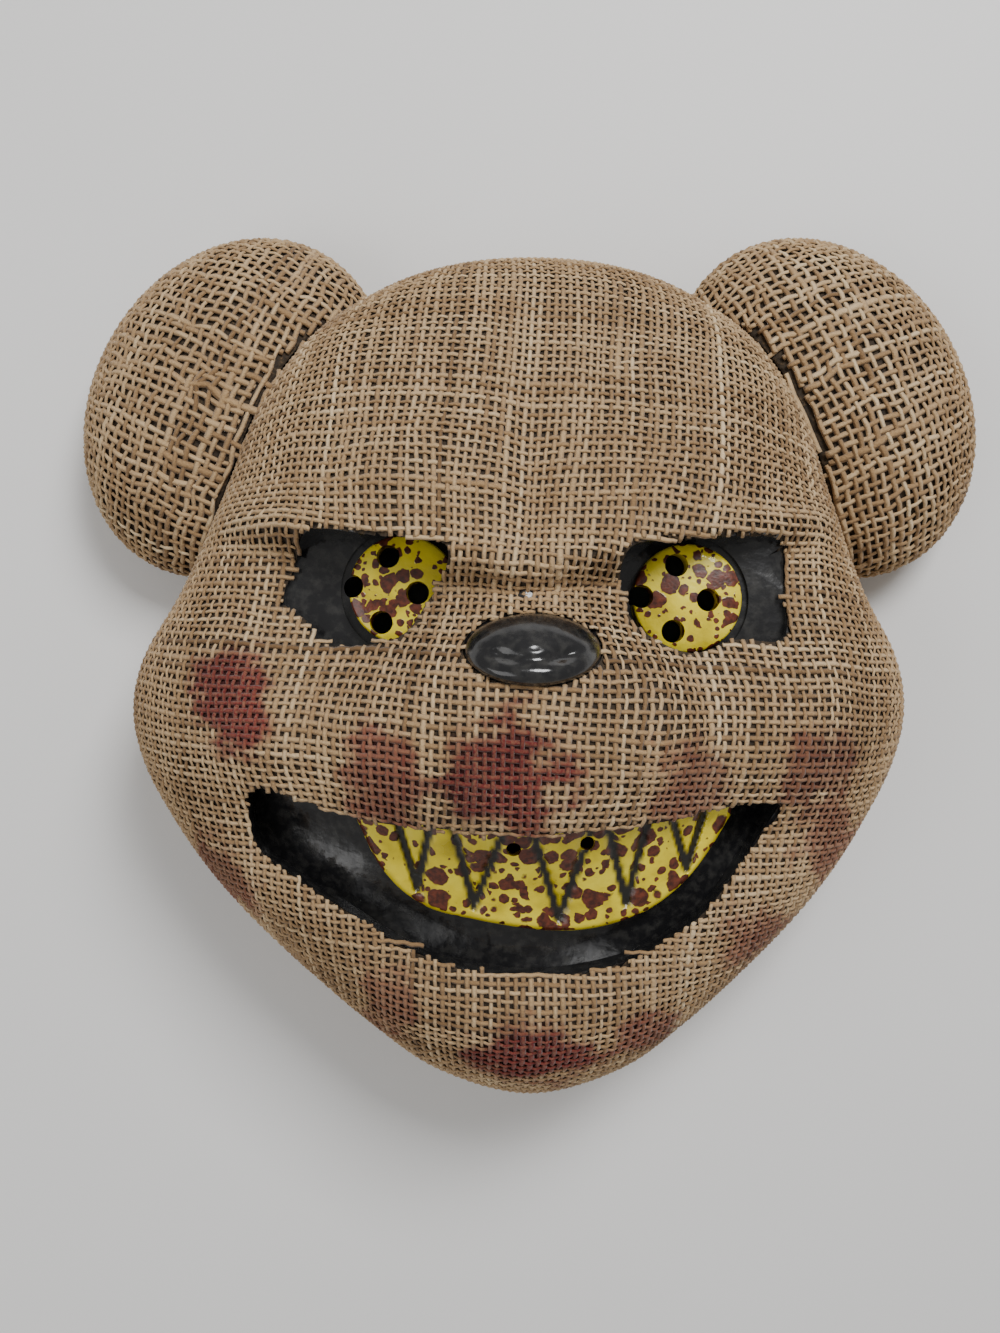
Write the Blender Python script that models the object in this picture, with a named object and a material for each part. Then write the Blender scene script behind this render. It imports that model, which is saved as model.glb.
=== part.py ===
"""A bear mask: a hollow moulded face shell under a burlap cover, with two padded ears.

It lies face up on its rim. X runs from ear to ear, Y from the chin to the crown
and Z out of the face, with the origin under the middle of the whole mask.
"""

import math
from collections import namedtuple

import bmesh
import bpy
from mathutils import Vector

# Sizes of the whole mask, in metres
OVERALL_WIDTH = 0.289
OVERALL_HEIGHT = 0.272

# The head: a dome that bulges over its rim
HEAD_WIDTH = 0.240
HEAD_LEAN = 0.004
DOME_HEIGHT = 0.088
DOME_FULLNESS = 2.6
BULGE_HEIGHT = 0.030
RIM_TUCK = 0.005
MUZZLE_RISE = 0.026
BROW_RISE = 0.014
BROW_MIDDLE = 0.0195
BROW_SLOPE = 0.19
BROW_EDGE = 0.010
BROW_FADE = 0.045
BROW_REACH = 0.80
BROW_FLATNESS = 6
LEAN_MIDDLE = -0.20
LEAN_REACH = 0.55
RELIEF_FADE = 6
SHELL_WALL = 0.0015
CLOTH = 0.0015
GAP = 0.0003

# The eyes: a pocket in the shell with a pierced yellow disc on its floor
SOCKET_ACROSS = 0.047
SOCKET_UP = 0.0175
SOCKET_WIDTH = 0.047
SOCKET_HEIGHT = 0.032
SOCKET_FLOOR = 0.0735
LENS_RADIUS = 0.0152
LENS_THICKNESS = 0.0075
LENS_CROWN = 0.0012
LENS_FLAT = 0.94
LENS_MARGIN = 0.0030
VISION_HOLE_RADIUS = 0.0032
VISION_HOLE_RING = 0.0092

# The mouth: a recessed band with one plate of teeth in it
MOUTH_WIDTH = 0.148
MOUTH_TOP = -0.0445
MOUTH_DROP = 0.043
MOUTH_DEPTH = 0.010
LIP_TUCK = 0.0030
TEETH_WIDTH = 0.104
TEETH_DROP = 0.032
TEETH_THICKNESS = 0.0065
GROOVE_WIDTH = 0.0022
GROOVE_DEPTH = 0.0012
BREATH_HOLE_RADIUS = 0.0020

# The nose
NOSE_ACROSS = -0.001
NOSE_UP = 0.0015
NOSE_WIDTH = 0.036
NOSE_HEIGHT = 0.0195
NOSE_RISE = 0.0040

# The ears: padded domes seated on the sides of the head
EAR_BREADTH = 0.090
EAR_LENGTH = 0.114
EAR_TILT = 30.0
EAR_BACK = 0.010
EAR_THICKNESS = 0.042

# The strap: an elastic band held inside the rim by two round rivets
STRAP_WIDTH = 0.020
STRAP_THICKNESS = 0.0012
STRAP_FOOT = 0.0008
STRAP_BOW = 0.052
STRAP_ANGLE = 72.0
STRAP_SEAT = 7.0
RIVET_RADIUS = 0.0045
RIVET_THICKNESS = 0.0015
RIVET_TAPER = 0.8

# How finely the round forms are cut
SPOKES = 40
DOME_RINGS = 14
WALL_RINGS = 2
EAR_SIDES = 28
LENS_SIDES = 28
NOSE_SIDES = 20
SEAT_SIDES = 20
VISION_HOLE_SIDES = 10
BREATH_HOLE_SIDES = 8
RIVET_SIDES = 16
OUTLINE_STEPS = 12
OPENING_STEPS = 2
BOW_STEPS = 16
SHARPEST_CORNER = 0.6
CUT_TOP = 0.160
CUT_FOOT = -0.030
UNDERCUT = 0.005

HALF_HEAD = HEAD_WIDTH / 2
HALF_MASK = OVERALL_HEIGHT / 2

# The head's outline, right half from crown to chin, in shares of half its width
# and of half the mask's height
Rim = namedtuple("Rim", "across up")
OUTLINE = (
    Rim(0.00, 0.902),
    Rim(0.20, 0.886),
    Rim(0.38, 0.832),
    Rim(0.56, 0.725),
    Rim(0.69, 0.565),
    Rim(0.77, 0.370),
    Rim(0.87, 0.150),
    Rim(0.96, 0.000),
    Rim(0.985, -0.120),
    Rim(0.955, -0.240),
    Rim(0.885, -0.360),
    Rim(0.800, -0.475),
    Rim(0.690, -0.590),
    Rim(0.550, -0.710),
    Rim(0.400, -0.825),
    Rim(0.230, -0.930),
    Rim(0.00, -0.985),
)

# The snout: narrow at the nose and wide over the mouth, in shares of half the
# head's width and of half the mask's height
Snout = namedtuple("Snout", "narrow wide broader_from broader_to tall up flatness")
SNOUT = Snout(0.24, 0.47, -0.12, 0.20, 0.27, -0.15, 2.6)

# Soft rises and dents, in shares of half the head's width, of half the mask's
# height and of the dome's height; a paired one is repeated on the other side
Bump = namedtuple("Bump", "name across up reach_across reach_up rise paired")
BUMPS = (
    Bump("nose root", 0.00, 0.02, 0.22, 0.14, 0.050, False),
    Bump("eye hollow", 0.40, 0.11, 0.27, 0.14, -0.055, True),
    Bump("cheek", 0.62, -0.14, 0.28, 0.22, 0.075, True),
    Bump("mouth corner", 0.55, -0.36, 0.20, 0.10, -0.050, True),
    Bump("chin", 0.00, -0.80, 0.42, 0.17, 0.110, False),
    Bump("jowl", 0.48, -0.54, 0.24, 0.16, 0.055, True),
    Bump("cheek fold", 0.43, -0.17, 0.11, 0.17, -0.045, True),
    Bump("frown", 0.00, 0.30, 0.06, 0.16, -0.040, False),
    Bump("temple", 0.62, 0.42, 0.20, 0.22, -0.040, True),
)

# Outlines of the two eye openings, in shares of half a socket's width and height
Corner = namedtuple("Corner", "across up")
SOCKETS = {
    "left": (
        Corner(0.97, 0.74),
        Corner(0.20, 0.90),
        Corner(-0.64, 1.04),
        Corner(-0.88, 0.42),
        Corner(-0.99, -0.14),
        Corner(-0.70, -0.48),
        Corner(-0.42, -0.92),
        Corner(0.42, -0.80),
        Corner(0.78, -0.14),
        Corner(0.94, 0.22),
    ),
    "right": (
        Corner(-0.96, 0.69),
        Corner(-0.30, 0.84),
        Corner(0.36, 0.95),
        Corner(0.98, 0.90),
        Corner(1.00, 0.05),
        Corner(0.95, -0.80),
        Corner(0.36, -0.82),
        Corner(-0.20, -1.06),
        Corner(-0.78, -0.68),
        Corner(-0.99, -0.14),
    ),
}

# Where each disc sits in its socket, in the same shares, the turn of its holes and
# how far their ring lies to one side, in shares of the disc's radius
Lens = namedtuple("Lens", "side across up turn shift")
LENSES = (
    Lens("left", 0.45, 0.06, -6.0, -0.34),
    Lens("right", -0.19, -0.09, -3.0, -0.24),
)

# The mouth's outline, in shares of half its width and of its drop below the lip
LIP = (
    Corner(-1.06, 0.17),
    Corner(-0.82, 0.10),
    Corner(-0.60, 0.01),
    Corner(-0.38, -0.01),
    Corner(-0.06, -0.04),
    Corner(0.24, -0.02),
    Corner(0.52, 0.02),
    Corner(0.74, 0.08),
    Corner(0.93, 0.06),
)
JAW = (
    Corner(0.80, -0.27),
    Corner(0.64, -0.62),
    Corner(0.47, -0.84),
    Corner(0.30, -0.96),
    Corner(0.02, -1.02),
    Corner(-0.28, -0.97),
    Corner(-0.51, -0.83),
    Corner(-0.72, -0.60),
    Corner(-0.92, -0.40),
    Corner(-1.07, -0.20),
)

# The lower edge of the teeth, in shares of half their width and of their drop
TEETH = (
    Corner(1.06, 0.00),
    Corner(0.96, -0.28),
    Corner(0.80, -0.60),
    Corner(0.54, -0.89),
    Corner(0.16, -1.01),
    Corner(-0.34, -0.90),
    Corner(-0.62, -0.76),
    Corner(-0.82, -0.44),
    Corner(-0.94, -0.02),
)

# The grooves that part the teeth: each is a V hanging from the lip
Groove = namedtuple("Groove", "left tip right drop")
GROOVES = (
    Groove(-0.72, -0.625, -0.535, 0.62),
    Groove(-0.43, -0.325, -0.145, 0.78),
    Groove(-0.035, 0.130, 0.300, 0.90),
    Groove(0.360, 0.490, 0.585, 0.76),
    Groove(0.715, 0.815, 0.900, 0.46),
)
BREATH_HOLES = (
    Corner(-0.115, -0.22),
    Corner(0.265, -0.18),
)

# The ears' section from the middle to the edge, in shares of half the breadth or
# length and of the thickness
Section = namedtuple("Section", "out height")
EAR_SECTIONS = (
    Section(0.28, 0.975),
    Section(0.52, 0.88),
    Section(0.73, 0.73),
    Section(0.89, 0.52),
    Section(0.98, 0.32),
    Section(0.995, 0.16),
    Section(0.93, 0.03),
)

# The nose's section, in the same way
NOSE_SECTIONS = (
    Section(1.00, 0.00),
    Section(1.00, 0.45),
    Section(0.90, 0.74),
    Section(0.68, 0.92),
    Section(0.36, 1.00),
)


def material(name, colour, roughness):
    """A plain finish of one colour."""
    mat = bpy.data.materials.new(name)
    mat.use_nodes = True
    shader = mat.node_tree.nodes["Principled BSDF"]
    shader.inputs["Base Color"].default_value = (*colour, 1.0)
    shader.inputs["Roughness"].default_value = roughness
    return mat


def add_object(name, bm, mat=None):
    """Make one object of a bmesh, with its faces pointing out."""
    bmesh.ops.recalc_face_normals(bm, faces=bm.faces)
    mesh = bpy.data.meshes.new(name)
    bm.to_mesh(mesh)
    bm.free()
    obj = bpy.data.objects.new(name, mesh)
    bpy.context.scene.collection.objects.link(obj)
    if mat:
        mesh.materials.append(mat)
    return obj


def hide(obj):
    """Mark an object as a guide that only cuts others."""
    obj.hide_render = True
    obj.display_type = "WIRE"
    return obj


def combine(obj, operation, *others):
    """Cut, clip or join obj with each of the others."""
    for other in others:
        step = obj.modifiers.new(other.name, "BOOLEAN")
        step.operation = operation
        step.solver = "EXACT"
        step.object = other


def outline_points():
    """The head's outline all the way round, from the crown clockwise."""
    right = [Vector((r.across * HALF_HEAD, r.up * HALF_MASK)) for r in OUTLINE]
    left = [Vector((-p.x, p.y)) for p in right[-2:0:-1]]
    return right + left


def smooth_loop(points, steps):
    """A closed curve through the points, with some steps for each point."""
    count = len(points)
    curve = []
    for i in range(count):
        before, start, end, after = (points[(i + k) % count] for k in (-1, 0, 1, 2))
        for k in range(steps):
            t = k / steps
            curve.append(
                0.5
                * (
                    2 * start
                    + (end - before) * t
                    + (2 * before - 5 * start + 4 * end - after) * t * t
                    + (3 * start - before - 3 * end + after) * t**3
                )
            )
    return curve


OUTLINE_CURVE = [
    (math.atan2(p.x, p.y) % math.tau, p.length)
    for p in smooth_loop(outline_points(), OUTLINE_STEPS)
]


def outline_reach(turn):
    """How far the head reaches in one direction, given by its turn from +Y."""
    turn %= math.tau
    for (a, reach_a), (b, reach_b) in zip(
        OUTLINE_CURVE, OUTLINE_CURVE[1:] + OUTLINE_CURVE[:1]
    ):
        span = (b - a) % math.tau
        along = (turn - a) % math.tau
        if along <= span and span > 0:
            return reach_a + (reach_b - reach_a) * along / span
    return OUTLINE_CURVE[0][1]


def ease(value, low, high):
    """A smooth step from 0 at low to 1 at high."""
    t = min(1.0, max(0.0, (value - low) / (high - low)))
    return t * t * (3 - 2 * t)


def muzzle(x, y):
    """The broad snout, narrow at the nose and wide over the mouth."""
    broad = ease(-y / HALF_MASK, SNOUT.broader_from, SNOUT.broader_to)
    across = x / HALF_HEAD / (SNOUT.narrow + (SNOUT.wide - SNOUT.narrow) * broad)
    up = (y / HALF_MASK - SNOUT.up) / SNOUT.tall
    return MUZZLE_RISE * math.exp(-(math.hypot(across, up) ** SNOUT.flatness))


def brow(x, y):
    """The ridge over the eyes, which drops steeply at its lower edge."""
    above = y - BROW_MIDDLE - BROW_SLOPE * abs(x)
    front = ease(above, -BROW_EDGE / 2, BROW_EDGE / 2)
    fade = math.exp(-((max(0.0, above) / BROW_FADE) ** 2))
    sides = math.exp(-((x / HALF_HEAD / BROW_REACH) ** BROW_FLATNESS))
    return BROW_RISE * front * fade * sides


def soft_bumps(x, y):
    """The sum of the table's rises and dents."""
    total = 0.0
    for bump in BUMPS:
        for side in (1, -1) if bump.paired else (1,):
            across = (x / HALF_HEAD - side * bump.across) / bump.reach_across
            up = (y / HALF_MASK - bump.up) / bump.reach_up
            total += bump.rise * math.exp(-(across**2) - up**2)
    return total * DOME_HEIGHT


def surface_point(turn, dip):
    """A point of the middle surface: dip runs from 0 at the top to 1 at the bulge."""
    share = math.sin(dip * math.pi / 2) ** (2 / DOME_FULLNESS)
    level = max(0.0, math.cos(dip * math.pi / 2)) ** (2 / DOME_FULLNESS)
    reach = outline_reach(turn) * share
    x = reach * math.sin(turn)
    y = reach * math.cos(turn)
    relief = (muzzle(x, y) + brow(x, y) + soft_bumps(x, y)) * (1 - share**RELIEF_FADE)
    z = BULGE_HEIGHT + (DOME_HEIGHT - BULGE_HEIGHT) * level + relief
    return Vector((x - lean(y), y, z))


def lean(y):
    """How far the cheeks sit to one side at this height of the face."""
    return HEAD_LEAN * math.exp(-(((y / HALF_MASK - LEAN_MIDDLE) / LEAN_REACH) ** 2))


def wall_point(turn, drop):
    """A point of the wall under the bulge: drop runs from 0 to 1 at the rim."""
    reach = outline_reach(turn) - RIM_TUCK * drop
    x = reach * math.sin(turn)
    y = reach * math.cos(turn)
    return Vector((x - lean(y), y, BULGE_HEIGHT * (1 - drop)))


def surface_height(x, y):
    """The middle surface's height over a place on the plan."""
    place = Vector((x + lean(y), y))
    turn = math.atan2(place.x, place.y)
    share = min(1.0, place.length / outline_reach(turn))
    dip = 2 / math.pi * math.asin(share ** (DOME_FULLNESS / 2))
    return surface_point(turn, dip).z


def head_form(name, offset, foot=0.0, mat=None):
    """The head as a closed solid, grown outwards by offset and cut level at foot."""
    turns = [math.tau * k / SPOKES for k in range(SPOKES)]
    drops = [(i + 1) / WALL_RINGS for i in range(WALL_RINGS)]
    if foot < 0:
        drops.append(1 - foot / BULGE_HEIGHT)
    rows = [[surface_point(a, (i + 1) / DOME_RINGS) for a in turns] for i in range(DOME_RINGS)]
    rows += [[wall_point(a, drop) for a in turns] for drop in drops]
    bm = bmesh.new()
    top = bm.verts.new(surface_point(0.0, 0.0))
    rings = [[bm.verts.new(place) for place in row] for row in rows]
    for k in range(SPOKES):
        after = (k + 1) % SPOKES
        bm.faces.new((top, rings[0][after], rings[0][k]))
        for upper, lower in zip(rings, rings[1:]):
            bm.faces.new((upper[k], upper[after], lower[after]))
            bm.faces.new((upper[k], lower[after], lower[k]))
    bm.normal_update()
    outward = {v: v.normal.copy() for v in bm.verts}
    if outward[top].z < 0:
        outward = {v: -n for v, n in outward.items()}
    for v, n in outward.items():
        v.co += n * offset
    for v in rings[-1]:
        v.co.z = foot
    bm.faces.new(rings[-1])
    return add_object(name, bm, mat)


def prism(name, points, foot=CUT_FOOT, top=CUT_TOP):
    """An upright guide over an outline on the plan."""
    bm = bmesh.new()
    low = [bm.verts.new((p.x, p.y, foot)) for p in points]
    high = [bm.verts.new((p.x, p.y, top)) for p in points]
    bm.faces.new(low)
    bm.faces.new(high)
    for i in range(len(points)):
        k = (i + 1) % len(points)
        bm.faces.new((low[i], low[k], high[k], high[i]))
    return hide(add_object(name, bm))


def circle(x, y, radius, sides):
    """Points round a circle on the plan."""
    turns = (math.tau * k / sides for k in range(sides))
    return [Vector((x + radius * math.cos(a), y + radius * math.sin(a))) for a in turns]


def grown(points, distance):
    """A closed outline moved outwards; it has to run anticlockwise."""
    result = []
    for i, p in enumerate(points):
        before = (p - points[i - 1]).normalized()
        after = (points[(i + 1) % len(points)] - p).normalized()
        side = Vector((before.y + after.y, -before.x - after.x))
        side.normalize()
        spread = max(SHARPEST_CORNER, side.dot(Vector((before.y, -before.x))))
        result.append(p + side * distance / spread)
    return result


def anticlockwise(points):
    """The same outline, turned to run anticlockwise."""
    area = sum(p.cross(q) for p, q in zip(points, points[1:] + points[:1]))
    return points if area > 0 else points[::-1]


def socket_place(side, corner):
    """A place in an eye socket, from its shares of half the socket's size."""
    middle = SOCKET_ACROSS if side == "right" else -SOCKET_ACROSS
    return Vector(
        (
            middle + corner.across * SOCKET_WIDTH / 2,
            SOCKET_UP + corner.up * SOCKET_HEIGHT / 2,
        )
    )


def socket_outline(side):
    """The opening in the cloth over one eye."""
    corners = [socket_place(side, c) for c in SOCKETS[side]]
    return anticlockwise(smooth_loop(corners, OPENING_STEPS))


def mouth_place(corner):
    """A place in the mouth, from its shares of half the width and of the drop."""
    return Vector(
        (corner.across * MOUTH_WIDTH / 2, MOUTH_TOP + corner.up * MOUTH_DROP)
    )


def mouth_outline(tuck=0.0):
    """The opening of the mouth, with its upper lip moved up by tuck."""
    lip = [mouth_place(c) + Vector((0.0, tuck)) for c in LIP]
    jaw = [mouth_place(c) for c in JAW]
    return anticlockwise(smooth_loop(lip + jaw, OPENING_STEPS))


def teeth_place(across, up):
    """A place on the teeth, from shares of half their width and of their drop."""
    return Vector((across * TEETH_WIDTH / 2, MOUTH_TOP + up * TEETH_DROP))


def teeth_outline():
    """The plate of teeth, whose upper edge follows the lip and hides behind it."""
    edge = [teeth_place(c.across, c.up) for c in TEETH]
    first, last = edge[0], edge[-1]
    lip = [mouth_place(c) + Vector((0.0, LIP_TUCK / 2)) for c in LIP]
    inner = [p for p in lip if last.x + GAP < p.x < first.x - GAP]
    return anticlockwise(edge + inner)


def lens_place(lens):
    """The middle of one eye disc."""
    return socket_place(lens.side, lens)


def vision_holes(lens):
    """The middles of the four holes through one eye disc."""
    middle = lens_place(lens) + Vector((lens.shift * LENS_RADIUS, 0.0))
    turns = (math.radians(lens.turn + 90 * k) for k in range(4))
    return [middle + VISION_HOLE_RING * Vector((math.cos(a), math.sin(a))) for a in turns]


def hole_cutters():
    """Guides for the vision holes and the breathing holes."""
    cutters = []
    for lens in LENSES:
        for k, p in enumerate(vision_holes(lens)):
            points = circle(p.x, p.y, VISION_HOLE_RADIUS, VISION_HOLE_SIDES)
            cutters.append(prism(f"vision hole {lens.side} {k}", points))
    for k, c in enumerate(BREATH_HOLES):
        p = teeth_place(c.across, c.up)
        points = circle(p.x, p.y, BREATH_HOLE_RADIUS, BREATH_HOLE_SIDES)
        cutters.append(prism(f"breathing hole {k}", points))
    return cutters


def lowered(form, name, drop):
    """A guide with the same shape as form, lower by drop."""
    guide = bpy.data.objects.new(name, form.data)
    guide.location.z = -drop
    bpy.context.scene.collection.objects.link(guide)
    return hide(guide)


def make_shell(mat, form, holes):
    """The moulded face: a wall of even thickness with eye and mouth pockets."""
    shell = head_form("face_shell", -GAP / 2, 0.0, mat)
    hollow = hide(head_form("hollow", -GAP / 2 - SHELL_WALL, -UNDERCUT))
    mouth = prism("mouth pocket", mouth_outline(LIP_TUCK))
    combine(mouth, "DIFFERENCE", lowered(form, "mouth floor", MOUTH_DEPTH))
    backing = prism("mouth backing", grown(mouth_outline(LIP_TUCK), SHELL_WALL))
    under = lowered(form, "mouth floor back", MOUTH_DEPTH + SHELL_WALL)
    combine(backing, "DIFFERENCE", under)
    pockets = [mouth]
    backings = [backing]
    for lens in LENSES:
        opening = socket_outline(lens.side)
        middle = lens_place(lens)
        seat = circle(middle.x, middle.y, LENS_RADIUS + LENS_MARGIN, SEAT_SIDES)
        back = SOCKET_FLOOR - SHELL_WALL
        pockets.append(prism(f"socket {lens.side}", opening, SOCKET_FLOOR))
        pockets.append(prism(f"disc seat {lens.side}", seat, SOCKET_FLOOR))
        backings.append(
            prism(f"socket back {lens.side}", grown(opening, SHELL_WALL), back)
        )
        backings.append(prism(f"seat back {lens.side}", grown(seat, SHELL_WALL), back))
    combine(shell, "DIFFERENCE", *pockets)
    combine(hollow, "DIFFERENCE", *backings)
    combine(shell, "DIFFERENCE", hollow, *holes)
    return shell


def make_cover(mat):
    """The burlap over the shell, cut open at the eyes, the nose and the mouth."""
    cover = head_form("burlap_cover", GAP / 2 + CLOTH, 0.0, mat)
    inside = hide(head_form("cloth inside", GAP / 2, -UNDERCUT))
    cuts = [prism(f"eye cut {lens.side}", socket_outline(lens.side)) for lens in LENSES]
    cuts.append(prism("mouth cut", mouth_outline()))
    cuts.append(prism("nose cut", nose_outline(GAP)))
    combine(cover, "DIFFERENCE", *cuts, inside)
    return cover


def nose_outline(clearance):
    """The oval of the nose on the plan."""
    turns = (math.tau * k / NOSE_SIDES for k in range(NOSE_SIDES))
    wide = NOSE_WIDTH / 2 + clearance
    tall = NOSE_HEIGHT / 2 + clearance
    return [
        Vector((NOSE_ACROSS + wide * math.cos(a), NOSE_UP + tall * math.sin(a)))
        for a in turns
    ]


def make_nose(mat):
    """A glossy oval button that swells out of its hole in the cloth."""
    middle = surface_height(NOSE_ACROSS, NOSE_UP)
    side = surface_height(NOSE_ACROSS + NOSE_WIDTH / 2, NOSE_UP)
    foot = side - CLOTH
    top = middle + CLOTH + NOSE_RISE
    bm = bmesh.new()
    outline = nose_outline(-GAP)
    centre = Vector((NOSE_ACROSS, NOSE_UP))
    rings = []
    for section in NOSE_SECTIONS:
        level = foot + (top - foot) * section.height
        places = (centre + (p - centre) * section.out for p in outline)
        rings.append([bm.verts.new((p.x, p.y, level)) for p in places])
    bm.faces.new(rings[0])
    bm.faces.new(rings[-1])
    for lower, upper in zip(rings, rings[1:]):
        for i in range(len(outline)):
            k = (i + 1) % len(outline)
            bm.faces.new((lower[i], lower[k], upper[k], upper[i]))
    nose = add_object("nose", bm, mat)
    combine(nose, "DIFFERENCE", hide(head_form("nose seat", GAP / 2, -UNDERCUT)))
    return nose


def make_lens(lens, mat, holes):
    """One thick yellow disc, crowned in front and pierced by four holes."""
    middle = lens_place(lens)
    foot = SOCKET_FLOOR + GAP
    top = foot + LENS_THICKNESS
    bm = bmesh.new()
    rings = []
    for share, z in ((1.0, foot), (1.0, top - LENS_CROWN / 2), (LENS_FLAT, top)):
        points = circle(middle.x, middle.y, LENS_RADIUS * share, LENS_SIDES)
        rings.append([bm.verts.new((p.x, p.y, z)) for p in points])
    bm.faces.new(rings[0])
    for lower, upper in zip(rings, rings[1:]):
        for i in range(LENS_SIDES):
            k = (i + 1) % LENS_SIDES
            bm.faces.new((lower[i], lower[k], upper[k], upper[i]))
    peak = bm.verts.new((middle.x, middle.y, top + LENS_CROWN))
    for i in range(LENS_SIDES):
        bm.faces.new((rings[-1][i], rings[-1][(i + 1) % LENS_SIDES], peak))
    disc = add_object(f"eye_lens_{lens.side}", bm, mat)
    own = [h for h in holes if h.name.startswith(f"vision hole {lens.side}")]
    combine(disc, "DIFFERENCE", *own)
    return disc


def groove_outline(groove):
    """A V of even width on the plan, which runs past the lip at both its ends."""
    left, right = (
        Vector((across * TEETH_WIDTH / 2, MOUTH_TOP)) for across in (groove.left, groove.right)
    )
    tip = teeth_place(groove.tip, -groove.drop)
    half = GROOVE_WIDTH / 2
    down = (tip - left).normalized()
    up = (right - tip).normalized()
    inner_left = Vector((-down.y, down.x))
    inner_right = Vector((-up.y, up.x))
    middle = (inner_left + inner_right).normalized()
    left -= down * half
    right += up * half
    return [
        left + inner_left * half,
        tip + middle * half / middle.dot(inner_left),
        right + inner_right * half,
        right - inner_right * half,
        tip - inner_right * half,
        tip - inner_left * half,
        left - inner_left * half,
    ]


def make_teeth(mat, form, holes):
    """One plate over the mouth's floor, with grooves that part the teeth."""
    plate = prism("teeth_plate", teeth_outline())
    plate.hide_render = False
    plate.display_type = "SOLID"
    plate.data.materials.append(mat)
    front = lowered(form, "teeth front", MOUTH_DEPTH - GAP - TEETH_THICKNESS)
    seat = lowered(form, "teeth seat", MOUTH_DEPTH - GAP)
    combine(plate, "INTERSECT", front)
    combine(plate, "DIFFERENCE", seat)
    floor = lowered(form, "groove floor", MOUTH_DEPTH - GAP - TEETH_THICKNESS + GROOVE_DEPTH)
    for number, groove in enumerate(GROOVES):
        cut = prism(f"groove {number}", groove_outline(groove))
        combine(cut, "DIFFERENCE", floor)
        combine(plate, "DIFFERENCE", cut)
    combine(plate, "DIFFERENCE", *(h for h in holes if h.name.startswith("breathing")))
    return plate


def ear_place(side, out, angle):
    """A place on the plan of one ear, whose upper end leans towards the crown."""
    sign = 1 if side == "right" else -1
    tilt = math.radians(EAR_TILT)
    half_breadth = EAR_BREADTH / 2
    half_length = EAR_LENGTH / 2
    reach_x = math.hypot(half_breadth * math.cos(tilt), half_length * math.sin(tilt))
    reach_y = math.hypot(half_breadth * math.sin(tilt), half_length * math.cos(tilt))
    middle = Vector((OVERALL_WIDTH / 2 - reach_x, OVERALL_HEIGHT / 2 - reach_y))
    across = out * half_breadth * math.cos(angle)
    along = out * half_length * math.sin(angle)
    x = middle.x + across * math.cos(tilt) - along * math.sin(tilt)
    y = middle.y + across * math.sin(tilt) + along * math.cos(tilt)
    return Vector((sign * x, y))


def make_ear(side, mat, seat):
    """A padded ear, domed in front, seated against the side of the head."""
    bm = bmesh.new()
    rings = []
    for section in EAR_SECTIONS:
        ring = []
        for k in range(EAR_SIDES):
            place = ear_place(side, section.out, math.tau * k / EAR_SIDES)
            level = EAR_BACK + section.height * EAR_THICKNESS
            ring.append(bm.verts.new((place.x, place.y, level)))
        rings.append(ring)
    middle = ear_place(side, 0.0, 0.0)
    peak = bm.verts.new((middle.x, middle.y, EAR_BACK + EAR_THICKNESS))
    for i in range(EAR_SIDES):
        k = (i + 1) % EAR_SIDES
        bm.faces.new((peak, rings[0][i], rings[0][k]))
        for upper, lower in zip(rings, rings[1:]):
            bm.faces.new((upper[i], lower[i], lower[k], upper[k]))
    bm.faces.new(rings[-1])
    ear = add_object(f"ear_{side}", bm, mat)
    combine(ear, "DIFFERENCE", seat)
    return ear


def inward(turn):
    """The direction into the hollow, square to the rim's wall."""
    step = math.radians(STRAP_SEAT)
    along = wall_point(turn + step, 1.0).xy - wall_point(turn - step, 1.0).xy
    return Vector((along.y, -along.x)).normalized()


def inner_wall(turn, depth):
    """A place inside the rim's wall, at some depth in from its inner face."""
    face = wall_point(turn, 1.0).xy
    return face + inward(turn) * (GAP / 2 + SHELL_WALL + depth)


def strap_route():
    """The strap's middle line: along the wall at each end and bowed between."""
    depth = 2 * GAP + STRAP_THICKNESS / 2
    seat = [math.radians(STRAP_ANGLE + STRAP_SEAT * k / 2) for k in (2, 1, 0)]
    right = [inner_wall(a, depth) for a in seat]
    left = [inner_wall(-a, depth) for a in reversed(seat)]
    start, end = right[-1], left[0]
    bow = []
    for k in range(1, BOW_STEPS):
        t = k / BOW_STEPS
        place = start.lerp(end, t)
        rise = STRAP_BOW * math.sin(math.pi * t)
        bow.append(Vector((place.x, place.y + rise)))
    return right + bow + left


def make_strap(mat):
    """The elastic band, standing on edge just over the rim's level."""
    route = strap_route()
    bm = bmesh.new()
    sections = []
    for i, p in enumerate(route):
        before = route[max(0, i - 1)]
        after = route[min(len(route) - 1, i + 1)]
        along = (after - before).normalized()
        side = Vector((-along.y, along.x)) * STRAP_THICKNESS / 2
        section = []
        for place, z in (
            (p - side, STRAP_FOOT),
            (p + side, STRAP_FOOT),
            (p + side, STRAP_FOOT + STRAP_WIDTH),
            (p - side, STRAP_FOOT + STRAP_WIDTH),
        ):
            section.append(bm.verts.new((place.x, place.y, z)))
        sections.append(section)
    bm.faces.new(sections[0])
    bm.faces.new(sections[-1])
    for one, two in zip(sections, sections[1:]):
        for i in range(4):
            k = (i + 1) % 4
            bm.faces.new((one[i], one[k], two[k], two[i]))
    return add_object("head_strap", bm, mat)


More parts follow.
